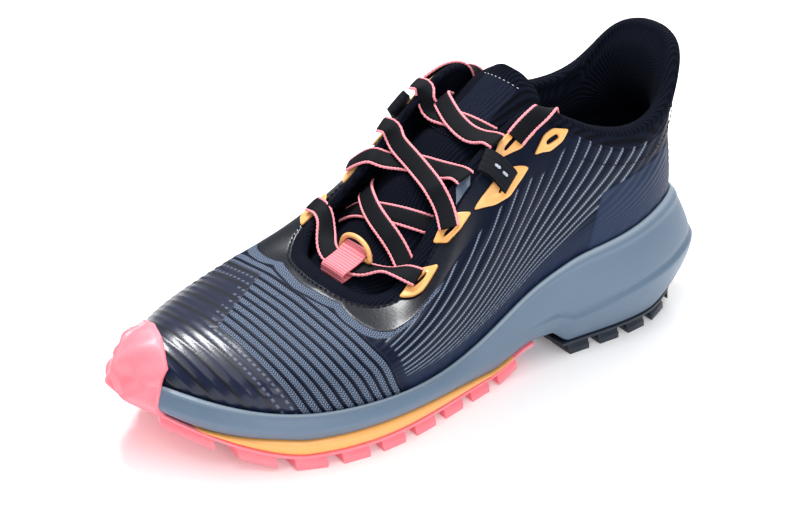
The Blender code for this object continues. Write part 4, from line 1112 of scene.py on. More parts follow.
def upper_relief(points, fields):
    """Rise of the outer face: film, mesh, ribs, rolled binding and the listed creases."""
    phase = (fields["vamp"] - VAMP_FIRST) / VAMP_PITCH
    wave = 0.5 + 0.5 * np.cos(math.tau * (phase - 0.62))
    on_vamp = ease(fields["vamp"], 0.200, 0.206) * ease(fields["ring"], 0.003, 0.006)
    film = ease(fields["toe_film"], -0.002, 0.003)
    rib = np.exp(-((np.mod(phase + 0.5, 1.0) - 0.5) / 0.16) ** 2)
    lift = on_vamp * ((1.0 - film) * MESH_WAVE * wave + film * FILM_RIB * rib)
    ring = (1.0 - ease(fields["ring"], -0.0004, 0.0006)) * ease(fields["vamp"], 0.145, 0.175)
    lift += RING_FILM * ring * (1.0 - ease(fields["knit_band"], -0.0004, 0.0004))
    quarter = (1.0 - on_vamp) * ease(fields["ring"], 0.0, 0.002)
    lift += QUARTER_WAVE * np.cos(math.tau * fields["quarter"] / QUARTER_PITCH) * quarter
    lift += PANEL_RISE * ease(fields["heel_panel"], -0.02, 0.02)
    roll = np.clip(fields["knit_band"] / ROLL_WIDTH, 0.0, 1.0)
    lift += ROLLED_EDGE * np.sin(math.pi * roll * 0.5)
    depth, width = SEAM_GROOVE
    lift -= depth * np.exp(-(fields["knit_band"] / width) ** 2)
    along = HEEL_REST - points[..., 1]
    for middle, height, half, width, depth, slope in CREASES:
        run = along - middle
        off = points[..., 2] - height + slope * run
        lift += depth * np.exp(-(run / half) ** 2 - (off / width) ** 2)
    rear = np.exp(-((along - 0.012) / 0.016) ** 2)
    height = points[..., 2]
    stacked = rear * ease(height, 0.062, 0.070) * (1.0 - ease(height, 0.088, 0.094))
    rib_height, pitch = TAB_RIBS
    return lift + rib_height * stacked * np.cos(math.tau * height / pitch)


def make_upper(outer_finish, lining_finish):
    columns = np.arange(UPPER_COLUMNS) * ROUND / UPPER_COLUMNS
    low = np.array([-1.0, -0.4, -0.1])
    shares = np.concatenate([low, np.linspace(0.0, 1.0, UPPER_ROWS)])
    stations, levels = np.meshgrid(columns, shares)
    points, fields = upper_fields(stations, levels)
    lift = upper_relief(points, fields) * ease(levels, -0.02, 0.02)
    rows = [wall_point(stations, levels, lift)]
    for turn in np.linspace(0.0, 1.0, CROWN_ROWS + 1)[1:]:
        puff = lift[-1] * (1.0 - turn) + 0.0004 * math.sin(math.pi * turn)
        rows.append(crown_point(columns, turn, puff[:, None])[None])
    inner_shares = np.concatenate([np.linspace(0.97, 0.0, INNER_ROWS), [-0.5, -1.0]])
    inner_stations, inner_levels = np.meshgrid(columns, inner_shares)
    depth = wall_thickness(inner_stations, inner_levels)
    rows.append(wall_point(inner_stations, inner_levels, -depth))
    grid = np.concatenate(rows)
    shape = Shape().loop(grid)
    outer_rows = len(shares)
    marks = np.ones((grid.shape[0], UPPER_COLUMNS), int)
    marks[:outer_rows - 1] = 0
    shape.marks = marks.ravel().tolist()
    for name, values in fields.items():
        spare = np.repeat(values[-1:], grid.shape[0] - outer_rows, axis=0)
        shape.field(name, np.concatenate([values, spare]))
    made = shape.make("upper_shell", [outer_finish, lining_finish], 75.0)
    return on_shoe(made, "mesh_upper", "upper")


# The tongue

TONGUE_STEPS = 14
TONGUE_ACROSS = 64
TONGUE_ROUND = 0.011
# Label on the tongue: middle along and across, half length, half width
LABEL = (0.1180, 0.0015, 0.0085, 0.0090)
SEAM_ALONG = 0.1345
SEAM_BOW = 9.0
# Share of the width left at the tip; the top edge's roll: extra pad, and its place below the tip
TIP_WIDTH = 0.40
TOP_ROLL = (0.35, 0.006)
EDGE_SHARE = 0.75
# The quilted swell, the groove across it (depth, place, half width) and the seam (depth, half width)
QUILT = 0.0005
QUILT_GROOVE = (0.0006, 0.1045, 0.0016)
TONGUE_SEAM = (0.0005, 0.0008)


def tongue_rows():
    spine, face = tongue_frames()
    sizes = np.stack([tongue_column("half", TONGUE_WIDTH), tongue_column("pad", TONGUE_PAD),
                      tongue_column("droop", TONGUE_DROOP)], axis=1)
    spine = smooth_run(spine, TONGUE_STEPS)
    face = unit(smooth_run(face, TONGUE_STEPS))
    return spine, face, smooth_run(sizes, TONGUE_STEPS)


def make_tongue(finish):
    """A soft padded strip: crowned face, thin edges, a quilted swell between its seams."""
    spine, face, sizes = tongue_rows()
    turns = np.linspace(0.0, math.tau, TONGUE_ACROSS, endpoint=False)
    share = np.cos(turns)
    grid, along_rows, across_rows = [], [], []
    from_top = distance_along(spine[::-1])[::-1]
    for k in range(len(spine)):
        half, pad, droop = sizes[k]
        corner = max(0.0, 1.0 - from_top[k] / TONGUE_ROUND)
        if corner:
            half *= TIP_WIDTH + (1.0 - TIP_WIDTH) * math.sqrt(max(0.0, 1.0 - corner ** 2.4))
        more, below = TOP_ROLL
        pad *= (1.0 + more * math.exp(-((from_top[k] - below) / below) ** 2)) * (1.0 - 0.7 * corner ** 6)
        thick = pad * (1.0 - EDGE_SHARE * abs(share) ** 3)
        depth = thick * (0.5 - 0.5 * np.sign(np.sin(turns)) * abs(np.sin(turns)) ** 0.35)
        along = HEEL_REST - spine[k][1]
        seam = along - (SEAM_ALONG - SEAM_BOW * (share * half) ** 2)
        depth_across, place_across, width = QUILT_GROOVE
        swell = QUILT * (1.0 - share ** 2) - depth_across * math.exp(-((along - place_across) / width) ** 2)
        seam_depth, width = TONGUE_SEAM
        swell = swell - seam_depth * np.exp(-(seam / width) ** 2)
        level = swell * (np.sin(turns) > 0.2) - depth - droop * share ** 2
        ring = spine[k] + np.outer(share * half, [1.0, 0.0, 0.0]) + np.outer(level, face[k])
        grid.append(ring)
        along_rows.append(np.full(TONGUE_ACROSS, along))
        across_rows.append(share * half)
    along_rows, across_rows = np.array(along_rows), np.array(across_rows)
    shape = Shape().tube(grid)
    middle, side, half_long, half_wide = LABEL
    corner = np.maximum(abs(along_rows - middle) / half_long, abs(across_rows - side) / half_wide)
    shape.field("label", (1.0 - corner) * half_wide)
    shape.field("seam", along_rows - (SEAM_ALONG - SEAM_BOW * across_rows ** 2))
    made = on_shoe(shape.make("tongue_pad", [finish], 80.0), "knit", "tongue")
    return made


# The sole

SOLE_COLUMNS = 640
SIDE_ROWS = 52
# Relief of the foam's side: crease over the ridge and lip under the rim as height, place and half
# width, where the crease fades as shares of SOLE_LENGTH, and the swell between
SIDE_CREASE = (0.0006, 0.05, 0.022)
CREASE_FADES = (0.34, 0.46)
SIDE_LIP = (0.0005, 0.93, 0.03)
SIDE_SWELL = 0.0005
FOOT_LAP = 0.004
SKIN_ROUND = 0.0004
TURNED_ROWS = 22
BUMPER_COLUMNS = 120
BUMPER_ROWS = 26
GUARD_COLUMNS = 70
# Folds of the toe bumper: height, slope over its width, start, slope up its rows, half width
BUMPER_FOLDS = (
    (0.0012, 1.2, 0.90, 1.5, 0.07), (-0.0011, 1.2, 0.65, 1.5, 0.07), (0.0010, 1.0, -0.15, 0.8, 0.06))
# First and last row of lugs, as shares of SOLE_LENGTH
FORE_LUGS = (0.452, 0.955)
HEEL_LUGS = (0.30, 0.05)
LUG_BEVEL = 0.0005


def make_midsole(finish):
    """Foam: tucked foot, side ridge with the step over it, rounded rim and the cup for the upper."""
    stations = np.arange(SOLE_COLUMNS) * ROUND / SOLE_COLUMNS
    ridge = RIDGE.at(stations)
    bottom = underside(foot_along(stations))
    rows = [outline(stations, TUCK.at(stations) + inset, bottom) for inset in (FOOT_LAP, 0.0006)]
    strength = 1.0 - ease_along(ALONG.at(stations), CREASE_FADES)
    crease_height, over, crease_width = SIDE_CREASE
    lip_height, lip_place, lip_width = SIDE_LIP
    for share in np.concatenate([[0.012], np.linspace(0.03, 0.975, SIDE_ROWS)]):
        crease = crease_height * np.exp(-((share - ridge - over) / crease_width) ** 2)
        lip = lip_height * np.exp(-((share - lip_place) / lip_width) ** 2)
        swell = SIDE_SWELL * np.sin(math.pi * share)
        rows.append(midsole_side(stations, share, lip + swell - crease * strength))
    side_rows = len(rows)
    rim, top, cup = RIM.at(stations), FLARE.at(stations), cup_inset(stations)
    footbed = FOOTBED.at(stations)
    for inset, height in ((top + 0.00015, rim - 0.0004), (top + 0.0005, rim - 0.00005), (top + 0.0010, rim),
                          (cup, rim - 0.0004), (cup, footbed), (cup + FOOT_LAP, footbed)):
        rows.append(outline(stations, inset, height))
    shape = Shape()
    grid = np.array(rows)
    faces = ring_quads(grid.shape[0], SOLE_COLUMNS, False, True)
    half = SOLE_COLUMNS // 2
    for base in (0, (grid.shape[0] - 1) * SOLE_COLUMNS):
        for k in range(half):
            twin, next_twin = (SOLE_COLUMNS - k) % SOLE_COLUMNS, SOLE_COLUMNS - k - 1
            corners = list(dict.fromkeys([base + k, base + k + 1, base + next_twin, base + twin]))
            if len(corners) > 2:
                faces.append(corners)
    shape.add(grid, faces)
    # Painted highlight: rows round the rim's edge are marked for the foam's pale painted highlight.
    edge = np.exp(-((np.arange(len(grid)) - side_rows) / 1.6) ** 2)
    shape.field("edge", np.repeat(edge[:, None], SOLE_COLUMNS, axis=1))
    return on_shoe(shape.make("midsole_foam", [finish], 50.0), "foam", "midsole")


def half_loop(first, last, count):
    """Stations along one side from first to last and back along the other, evenly."""
    lateral = np.linspace(first, last, count)
    return np.concatenate([lateral, (ROUND - lateral)[::-1]])


def tread_slab(shape, first, last, insets, levels, mark=0):
    """A layer under the foam: rings at insets and levels, shut by strips across the sole."""
    count = 260
    loop = half_loop(first, last, count)
    along = foot_along(loop)
    grid = np.array([outline(loop, TUCK.at(loop) + inset, level(along))
                     for inset, level in zip(insets, levels)])
    columns = 2 * count
    faces = ring_quads(len(grid), columns, False, True)
    for base in (0, (len(grid) - 1) * columns):
        for k in range(count - 1):
            faces.append([base + k, base + k + 1, base + columns - 2 - k, base + columns - 1 - k])
    return shape.add(grid, faces, mark)


def station_at(share):
    stations = np.linspace(0.0, TOE, 600)
    return float(np.interp(share * SOLE_LENGTH, ALONG.at(stations), stations))


def add_skin(shape, first, last, skin_top, bulge):
    """A tread's skin, with the middle of its edge bulged out."""
    low = lambda a: skin_top(a) - TREAD_SKIN
    tread_slab(shape, first, last, (0.0, -bulge, -bulge, 0.0),
               (low, lambda a: low(a) + SKIN_ROUND, lambda a: skin_top(a) - SKIN_ROUND, skin_top))


def make_insert(finish):
    shape = Shape()
    low = lambda a: fore_skin_top(a) + FIT
    high = lambda a: fore_skin_top(a) + FIT + insert_thickness(a)
    between = lambda share: lambda a: low(a) + (high(a) - low(a)) * share
    tread_slab(shape, station_at(INSERT_FROM), station_at(INSERT_TO),
               (-0.0002, -0.0008, -0.0012, -0.0012, -0.0008, -0.0002),
               (low, between(0.12), between(0.35), between(0.65), between(0.88), high))
    return on_shoe(shape.make("forefoot_band", [finish], 60.0), "peach", "forefoot_insert")


def lug_corners(along, side):
    """A ground lug at the sole's edge: along, across at the floor and at the skin."""
    half = 0.5 * LUG_LENGTH
    front, back = edge_at(along + half, side), edge_at(along - half, side)
    inner = 0.5 * (front + back) - LUG_WIDTH
    return ((along - half, side * (back + LUG_FLARE), side * (back - LUG_SUNK)),
            (along + half, side * (front + LUG_FLARE), side * (front - LUG_SUNK)),
            (along + 0.8 * half, side * inner, side * (inner - LUG_SUNK)),
            (along - 0.8 * half, side * inner, side * (inner - LUG_SUNK)))


def chevron_corners(along, across, room, facing):
    arm = min(CHEVRON_ARM, room)
    point = facing * CHEVRON_POINT
    spots = ((-0.6, -arm), (0.5, 0.0), (-0.6, arm), (0.2, arm), (1.2, 0.0), (0.2, -arm))
    return tuple((along + share * point, across + off, across + off) for share, off in spots)


def add_lug(shape, corners, skin_level, ground_level):
    """A tapered block with a waist, so that its side shows a step."""
    rings = []
    middle = np.mean([(a, 0.5 * (foot + head)) for a, foot, head in corners], axis=0)
    for rise, grow in LUG_WAIST:
        ring = []
        for a, foot, head in corners:
            across = foot + (head - foot) * rise
            a_there = middle[0] + (a - middle[0]) * grow
            across = middle[1] + (across - middle[1]) * grow
            bottom, top = ground_level(a_there), skin_level(a_there) - 0.5 * TREAD_SKIN
            ring.append(place(a_there, across, bottom + (top - bottom) * rise))
        rings.append(ring)
    return shape.tube(rings)


def lug_object(name, lugs, skin_level, ground_level, finish):
    """All lugs of one tread, with their edges rounded."""
    shape = Shape()
    for corners in lugs:
        add_lug(shape, corners, skin_level, ground_level)
    made = shape.make(name, [finish], 30.0)
    bevel = made.modifiers.new("edges", "BEVEL")
    bevel.width = LUG_BEVEL
    bevel.segments = 2
    bevel.limit_method = "ANGLE"
    bevel.angle_limit = math.radians(28.0)
    return plain_mesh(made)


def add_object(shape, made, mark=0):
    """Takes another object's mesh into a shape and removes the object."""
    mesh = made.data
    points = np.array([tuple(v.co) for v in mesh.vertices])
    shape.add(points, [list(p.vertices) for p in mesh.polygons], mark)
    bpy.data.objects.remove(made)


def turned_up_rows(stations, skin_level, top_share):
    """Places from the tread's skin up the side of the foam, just off it."""
    root = TUCK.at(stations) + TURN_ROOT
    buried = skin_level(HEEL_REST - outline(stations, root, 0.0)[:, 1])
    inner = [outline(stations, root, buried - 0.5 * TREAD_SKIN)]
    inner += [midsole_side(stations, share, FIT) for share in np.linspace(0.0, top_share, TURNED_ROWS)]
    return inner


def border_of(grid, top, ends):
    """How far up and how far across a grid's points are, and how near its border they come."""
    rows = np.linspace(0.0, 1.0, len(grid))[:, None]
    side = np.linspace(-1.0, 1.0, grid.shape[1])[None, :]
    return rows, side, np.minimum((1.0 - rows) / top, (1.0 - abs(side)) / ends)


def bumper_grid():
    """The toe bumper's inner face, and how far its outer face stands off."""
    stations = np.linspace(BUMPER_FROM, BUMPER_TO, BUMPER_COLUMNS)
    middle = 0.5 * (BUMPER_FROM + BUMPER_TO)
    off = abs(stations - middle) / (0.5 * (BUMPER_TO - BUMPER_FROM))
    reach = BUMPER_REACH * (1.0 - 0.6 * off ** 2.5)
    inner = turned_up_rows(stations, fore_skin_top, 1.0)
    outs = [midsole_side(stations, share, 0.001) - midsole_side(stations, share, 0.0)
            for share in np.linspace(0.0, 1.0, TURNED_ROWS)]
    outs = [outs[0]] + outs
    for step in np.linspace(0.06, 1.0, BUMPER_ROWS):
        lift = RIM_EDGE * (1.0 - 0.55 * ease(step, 0.1, 0.5)) + FIT
        inner.append(wall_point(stations, reach * step, lift))
        outs.append(wall_normal(stations, reach * step) * 0.001)
    inner, outs = np.array(inner), unit(np.array(outs))
    rows, side, border = border_of(inner, 0.05, 0.035)
    thick = BUMPER_WALL * np.sqrt(np.clip(border, 0.02, 1.0)) * (1.0 - 0.35 * rows)
    folds = 0.0008 * np.sin(11.0 * side + 8.0 * rows) * np.sin(math.pi * rows)
    for height, slope, start, climb, width in BUMPER_FOLDS:
        folds += height * np.exp(-((side * slope + start - climb * rows) / width) ** 2)
    return inner, inner + outs * (thick + folds * np.clip(border, 0.0, 1.0))[..., None]


def make_forefoot_tread(finish):
    """Coral rubber: skin with a bulged edge, the folded toe bumper and the ground lugs."""
    shape = Shape()
    add_skin(shape, station_at(FORE_FROM), TOE, fore_skin_top, 0.0006)
    inner, outer = bumper_grid()
    shape.slab(outer, inner)
    lugs = []
    along = FORE_LUGS[0] * SOLE_LENGTH
    while along < FORE_LUGS[1] * SOLE_LENGTH:
        for side in (-1, 1):
            lugs.append(lug_corners(along, side))
            free = edge_at(along, side) - LUG_WIDTH
            if free > LUG_WIDTH:
                lugs.append(chevron_corners(along, side * 0.5 * free, 0.5 * free - LUG_GAP, 1))
        along += LUG_PITCH
    add_object(shape, lug_object("fore_lugs", lugs, fore_skin_top, ground_lift, finish))
    return on_shoe(shape.make("tread_forefoot", [finish], 50.0), "coral_rubber", "outsole_forefoot")


def make_heel_tread(finish):
    """Navy rubber: skin, the thin guard up the back of the foam and the ground lugs."""
    shape = Shape()
    add_skin(shape, 0.001, station_at(HEEL_TO), heel_skin_top, 0.0005)
    stations = np.linspace(-GUARD_HALF, GUARD_HALF, GUARD_COLUMNS)
    inner = np.array(turned_up_rows(stations, heel_skin_top, float(RIDGE.at(0.0))))
    outward = plan_normal(ALONG, ACROSS, stations)
    _, _, border = border_of(inner, 0.08, 0.08)
    thick = GUARD_WALL * np.sqrt(np.clip(border, 0.05, 1.0))
    shape.slab(inner + outward[None] * thick[..., None], inner)
    lugs = []
    along = HEEL_LUGS[0] * SOLE_LENGTH
    while along > HEEL_LUGS[1] * SOLE_LENGTH:
        for sign in (-1, 1):
            lugs.append(lug_corners(along, sign))
        free = min(edge_at(along, 1), edge_at(along, -1)) - LUG_WIDTH
        lugs.append(chevron_corners(along, 0.0, free - LUG_GAP, -1))
        along -= LUG_PITCH
    add_object(shape, lug_object("heel_lugs", lugs, heel_skin_top, heel_lift, finish))
    return on_shoe(shape.make("tread_heel", [finish], 50.0), "navy_rubber", "outsole_heel")


# Eyelets and webbing

QUARTER_SIZES = np.array([SOLE_LENGTH, EYESTAY_DEPTH])
SIDE_NAMES = {1: "lateral", -1: "medial"}


def quarter_points(side, along, drop, lift):
    """Points over the quarter for arrays of places along it, drops down its face and lifts."""
    along, drop, lift = np.broadcast_arrays(along, drop, lift)
    stations = edge_station(side, along.ravel())
    shares = np.linspace(1.0, 0.0, 60)
    run = wall_curve(*np.meshgrid(stations, shares, indexing="ij"))
    steps = np.linalg.norm(np.diff(run, axis=1), axis=2)
    falls = np.concatenate([np.zeros((len(steps), 1)), np.cumsum(steps, axis=1)], axis=1)
    found = np.array([np.interp(d, fall, shares) for d, fall in zip(drop.ravel(), falls)])
    return wall_point(stations, found, lift.ravel()).reshape(*along.shape, 3)


def rounded(corners, count):
    """A closed outline through corners, each side cut in points and the corners eased."""
    corners = np.asarray(corners)
    rim = []
    for k in range(len(corners)):
        a, b = corners[k], corners[(k + 1) % len(corners)]
        for t in np.arange(count) / count:
            rim.append(a + (b - a) * t)
    rim = np.array(rim)
    for _ in range(2):
        rim = 0.25 * np.roll(rim, 1, axis=0) + 0.5 * rim + 0.25 * np.roll(rim, -1, axis=0)
    return rim


# Drawn sizes that are a little under the solids'
SHOWN_SLOT = (0.0070, 0.0019)
SHOWN_LOOP_HALF = 0.41 * WEBBING_WIDTH
SHOWN_WIRE = 0.0010
# An eyelet patch from its rim to its slot: share of the way in, lift as a share of its thickness
PATCH_SECTION = ((0.0, 0.0), (0.0, 0.55), (0.03, 0.85), (0.10, 1.0), (0.35, 1.0), (0.60, 1.0), (0.78, 1.05),
                 (0.88, 1.35), (0.96, 1.35), (1.0, 0.9), (1.0, 0.0))
# The underlay: places along and drops that it spans, lifts of its two faces, height of its fold
UNDERLAY_ALONG = (0.1405, 0.1475)
UNDERLAY_DROP = (0.0004, 0.0050)
UNDERLAY_LIFT = (0.0012, 0.0005)
UNDERLAY_FOLD = 0.0004
# White dashes on a loop: where each starts as a share of its length, rise in webbing thicknesses
LOOP_DASHES = ((0.26, 4.9), (0.54, 6.1))
DASH_SHARE = 0.07


def make_patch(side, number, film):
    """A moulded lozenge: flat film with a raised lip round its slot and a rounded rim."""
    corners = np.array(PATCH_CORNERS[number]) * QUARTER_SIZES
    rim = rounded(corners, 8)
    centre = np.array(SLOTS[number]) * QUARTER_SIZES
    axis = corners[3] - corners[0]
    axis /= np.linalg.norm(axis)
    cross = np.array([-axis[1], axis[0]])
    away = rim - centre
    turn = np.arctan2(away @ cross, away @ axis)
    slim = 0.5 * SHOWN_SLOT[1]
    reach = 0.5 * SHOWN_SLOT[0] - slim
    hole = centre + slim * (np.outer(np.cos(turn), axis) + np.outer(np.sin(turn), cross))
    hole += reach * np.outer(np.tanh(2.5 * np.cos(turn)), axis)
    loops = np.array([rim + (hole - rim) * inward for inward, _ in PATCH_SECTION])
    lifts = PATCH_LIFT + PATCH_THICKNESS * np.array([lift for _, lift in PATCH_SECTION])[:, None]
    rings = quarter_points(side, loops[..., 0], loops[..., 1], lifts)
    label = SIDE_NAMES[side]
    made = Shape().loop(rings).make(f"patch_{label}_{number}", [film], 50.0)
    return on_shoe(made, "peach_film", f"eyelet_{label}_{number}")


def make_tape(finish):
    """The underlay that shows at the lateral edge of the throat, with a soft fold across it; its pale colour
    is a painted glint where the glossy film catches the light.
    """
    along, drop = np.meshgrid(np.linspace(*UNDERLAY_ALONG, 16), np.linspace(*UNDERLAY_DROP, 12))
    shear = along + 0.5 * drop
    fold = UNDERLAY_FOLD * np.cos(900.0 * (along - 0.144) + 500.0 * drop)
    outer = quarter_points(1, shear, drop, UNDERLAY_LIFT[0] + fold)
    inner = quarter_points(1, shear, drop, UNDERLAY_LIFT[1])
    return on_shoe(Shape().slab(outer, inner).make("underlay_tape", [finish], 60.0), "mesh_upper")


def smooth_loop(points, steps):
    """A smooth closed curve through points."""
    points = np.asarray(points, float)
    return np.array([spot for k in range(len(points))
                     for spot in cubic_span(np.roll(points, 1 - k, axis=0)[:4], steps)])


def folded_webbing(name, outer, inner, half_width, length, spot_at, finishes):
    """A strip folded on itself, with rounded selvedges, its run and width kept for the weave."""
    rings, runs, sides = [], [], []
    outer, inner = smooth_loop(outer, 6), smooth_loop(inner, 6)
    places = np.sin(np.linspace(-0.5 * math.pi, 0.5 * math.pi, 13))
    for section, order, grow in ((outer, places, 1.0), (inner, places[::-1], -1.0)):
        middle = section.mean(axis=0)
        for side in order:
            slim = 1.0 - grow * 0.10 * abs(side) ** 6
            loop = middle + (section - middle) * np.array([1.0, slim])
            rings.append(spot_at(loop[:, 0], side * half_width, loop[:, 1] * WEBBING_THICKNESS))
            runs.append(loop[:, 0] * length + loop[:, 1] * WEBBING_THICKNESS)
            sides.append(np.full(len(loop), side * half_width))
    shape = Shape().loop(rings)
    shape.field("run", runs).field("across", sides)
    return shape.make(name, finishes, 60.0)


def make_lace_loop(side, finish):
    root = np.array(LOOP_ROOT) * QUARTER_SIZES
    run = np.array(LOOP_TIP) * QUARTER_SIZES - root
    across = np.array([-run[1], run[0]]) / np.linalg.norm(run)

    def spot_at(share, sideways, rise):
        along = root[0] + run[0] * share + across[0] * sideways
        drop = root[1] + run[1] * share + across[1] * sideways
        return quarter_points(side, along, np.maximum(drop, 0.0), rise)

    label = SIDE_NAMES[side]
    made = folded_webbing(f"webbing_loop_{label}", LOOP_OUTER, LOOP_INNER, SHOWN_LOOP_HALF,
                          float(np.linalg.norm(run)), spot_at, [finish])
    dashes = [[spot_at(share, 0.0, rise * WEBBING_THICKNESS) for share in (low, low + DASH_SHARE)]
              for low, rise in LOOP_DASHES]
    up = spot_at(0.7, 0.0, 8.0 * WEBBING_THICKNESS) - spot_at(0.7, 0.0, 6.0 * WEBBING_THICKNESS)
    return on_shoe(made, "webbing", f"lace_loop_{label}"), dashes, up / np.linalg.norm(up)


def make_keeper(finish):
    def spot_at(share, sideways, rise):
        along = KEEPER_FRONT - share * KEEPER_LENGTH
        return [tongue_point(a, KEEPER_ACROSS + sideways, r)[0] for a, r in zip(along, rise)]

    made = folded_webbing("webbing_keeper", KEEPER_OUTER, KEEPER_INNER, 0.5 * KEEPER_WIDTH, KEEPER_LENGTH,
                          spot_at, [finish])
    return on_shoe(made, "coral_webbing", "lace_keeper")


def make_ring(finish):
    """The D ring, round wire swept along its arc and its bar."""
    axis = tongue_point(KEEPER_FRONT - RING_BACK, KEEPER_ACROSS, RING_RISE)[0]
    turns = np.linspace(0.0, math.pi, 17)
    arc = [(RING_HALF * math.cos(t), RING_REACH * math.sin(t) ** 0.8) for t in turns]
    bar = [(-RING_HALF + 2.0 * RING_HALF * k / 5, 0.0) for k in range(1, 5)]
    path = smooth_loop(arc + bar, 5)
    heading = unit(np.roll(path, -1, axis=0) - np.roll(path, 1, axis=0))
    rings = []
    angles = np.linspace(0.0, math.tau, 16, endpoint=False)
    for (x, z), (dx, dz) in zip(path, heading):
        level = SHOWN_WIRE * np.cos(angles)
        rings.append(np.stack([x + dz * level, SHOWN_WIRE * np.sin(angles), z - dx * level], axis=1) + axis)
    made = Shape().loop(rings).make("ring_wire", [finish], 60.0)
    return on_shoe(made, "ring", "gaiter_ring", body="ring")


# Laces

LACE_STEP = 0.00035
CORD_RADIUS = 0.00054
CORD_TWIST = 0.0017
LACE_RIB = 0.00085
SHOWN_WIDTH = 0.0082
DRAPE_STEP = 0.0012
DRAPE_ROUNDS = 6
DRAPE_GAP = 0.0003
DRAPE_LIFT = 0.0016
DRAPE_SHARES = (-0.45, -0.2, 0.0, 0.2, 0.45)
# The tape's half thickness and ribs as shares, how far it laps under its cords, the strands' swell
TAPE_HALF = 0.42
TAPE_RIBS = 0.16
TAPE_LAP = 0.0003
STRANDS = (0.70, 0.42)
# The first bar as it lies drawn taut between the keeper and its two slots
TAUT_BAR = (
    ("medial", 0.607, 0.255, 2.1), ("medial", 0.614, 0.11, 2.1), ("medial crown", 0.624, 0.50, 1.9),
    ("tongue", 0.653, -0.16, 1.9), ("tongue", 0.653, 0.00, 1.85), ("tongue", 0.652, 0.15, 1.9),
    ("lateral crown", 0.624, 0.50, 1.9), ("lateral", 0.614, 0.11, 1.9), ("lateral", 0.607, 0.255, 2.1),
)
# Parts of the lace that the solids leave out: under the eyestay, and through the medial loop
LOWER_TUCK = (("tongue", 0.606, 0.27, 1.0), ("tongue", 0.612, 0.33, 1.0), ("tongue", 0.618, 0.39, 1.0))
MIDDLE_START = (("medial", 0.514, 0.06, 3.0), ("medial crown", 0.515, 0.50, 1.6))
TOP_START = (("medial", 0.460, 0.05, 3.0), ("medial crown", 0.461, 0.50, 1.6))


def even_run(path, ways, step):
    """A path and its facing taken again at even steps."""
    run = distance_along(path)
    even = np.linspace(0.0, run[-1], max(int(run[-1] / step), 8))
    take = lambda rows: np.stack([np.interp(even, run, rows[:, k]) for k in range(3)], axis=1)
    return take(path), take(ways)


def softened(rows, rounds):
    """Rows eased towards their neighbours, with the two ends kept."""
    rows = rows.copy()
    for _ in range(rounds):
        rows[1:-1] = 0.25 * rows[:-2] + 0.5 * rows[1:-1] + 0.25 * rows[2:]
    return rows


def side_of(path, facing):
    return unit(np.cross(np.gradient(path, axis=0), facing))


def draped(path, facing, skins):
    """The path drawn taut again and again, and held off the skins under it each time."""
    spots, outs = skins
    for _ in range(DRAPE_ROUNDS):
        path = softened(path, 6)
        side = side_of(path, facing)
        lack = np.zeros(len(path))
        for share in DRAPE_SHARES:
            under = path + side * share * SHOWN_WIDTH - facing * 0.5 * LACE_THICKNESS
            nearest = np.argmin(((under[:, None] - spots[None]) ** 2).sum(axis=2), axis=1)
            height = ((under - spots[nearest]) * outs[nearest]).sum(axis=1)
            lack = np.maximum(lack, DRAPE_GAP - height)
        lack[0] = lack[-1] = 0.0
        lack = np.minimum(np.maximum(lack, softened(lack, 2)), DRAPE_LIFT)
        path = path + facing * lack[:, None]
    return softened(path, 4)


def lace_path(route, skins):
    """The lace's middle line over its route, drawn taut, with the way its face looks."""
    spots = [skin_point(skin, along * SOLE_LENGTH, there, rise * LACE_THICKNESS)
             for skin, along, there, rise in route]
    path = smooth_run([spot for spot, _ in spots], 3)
    facing = smooth_run([way / np.linalg.norm(way) for _, way in spots], 3)
    path, facing = even_run(path, facing, DRAPE_STEP)
    facing = unit(softened(facing, 30))
    path = draped(path, facing, skins)
    path, facing = even_run(path, facing, LACE_STEP)
    return softened(path, 30), softened(facing, 60)


def lace_top(path, facing):
    """The upper face of a lace as points for the next one to lie on."""
    side = side_of(path, facing)[::4]
    spots = [path[::4] + side * share * SHOWN_WIDTH + facing[::4] * 0.5 * LACE_THICKNESS
             for share in (-0.5, -0.25, 0.0, 0.25, 0.5)]
    return np.concatenate(spots), np.tile(facing[::4], (5, 1))


def add_lace(shape, path, facing):
    """A flat ribbed tape with a twisted two-strand cord along each edge."""
    side = side_of(path, facing)
    up = unit(np.cross(side, np.gradient(path, axis=0)))
    run = distance_along(path)
    half = 0.5 * SHOWN_WIDTH - 2.0 * CORD_RADIUS
    angles = np.linspace(0.0, math.tau, 18, endpoint=False)
    wide = np.sign(np.cos(angles)) * abs(np.cos(angles)) ** 0.5
    tall = np.sign(np.sin(angles)) * abs(np.sin(angles)) ** 0.7
    ribs = 1.0 + TAPE_RIBS * np.cos(math.tau * run / LACE_RIB)
    body = (path[:, None] + side[:, None] * (wide * (half + TAPE_LAP))[None, :, None]
            + up[:, None] * (tall[None, :] * TAPE_HALF * LACE_THICKNESS * ribs[:, None])[..., None])
    shape.tube(body, 0)
    turns = np.linspace(0.0, math.tau, 12, endpoint=False)
    for sign in (-1, 1):
        strands = abs(np.cos(turns[None, :] - sign * math.pi * run[:, None] / CORD_TWIST))
        radius = CORD_RADIUS * (STRANDS[0] + STRANDS[1] * strands)
        middle = path + side * sign * (half + CORD_RADIUS)
        cord = (middle[:, None] + side[:, None] * (radius * np.cos(turns))[..., None]
                + up[:, None] * (radius * np.sin(turns))[..., None])
        shape.tube(cord, 1)
    return run[-1]


def make_lace(name, node, routes, skins, finishes):
    shape = Shape()
    length = 0.0
    for route in routes:
        path, facing = lace_path(route, skins)
        length = add_lace(shape, path, facing)
        if len(routes) > 1:
            skins = [np.concatenate(pair) for pair in zip(skins, lace_top(path, facing))]
    made = on_shoe(shape.make(name, finishes, 80.0), "lace", node)
    return made, path, length


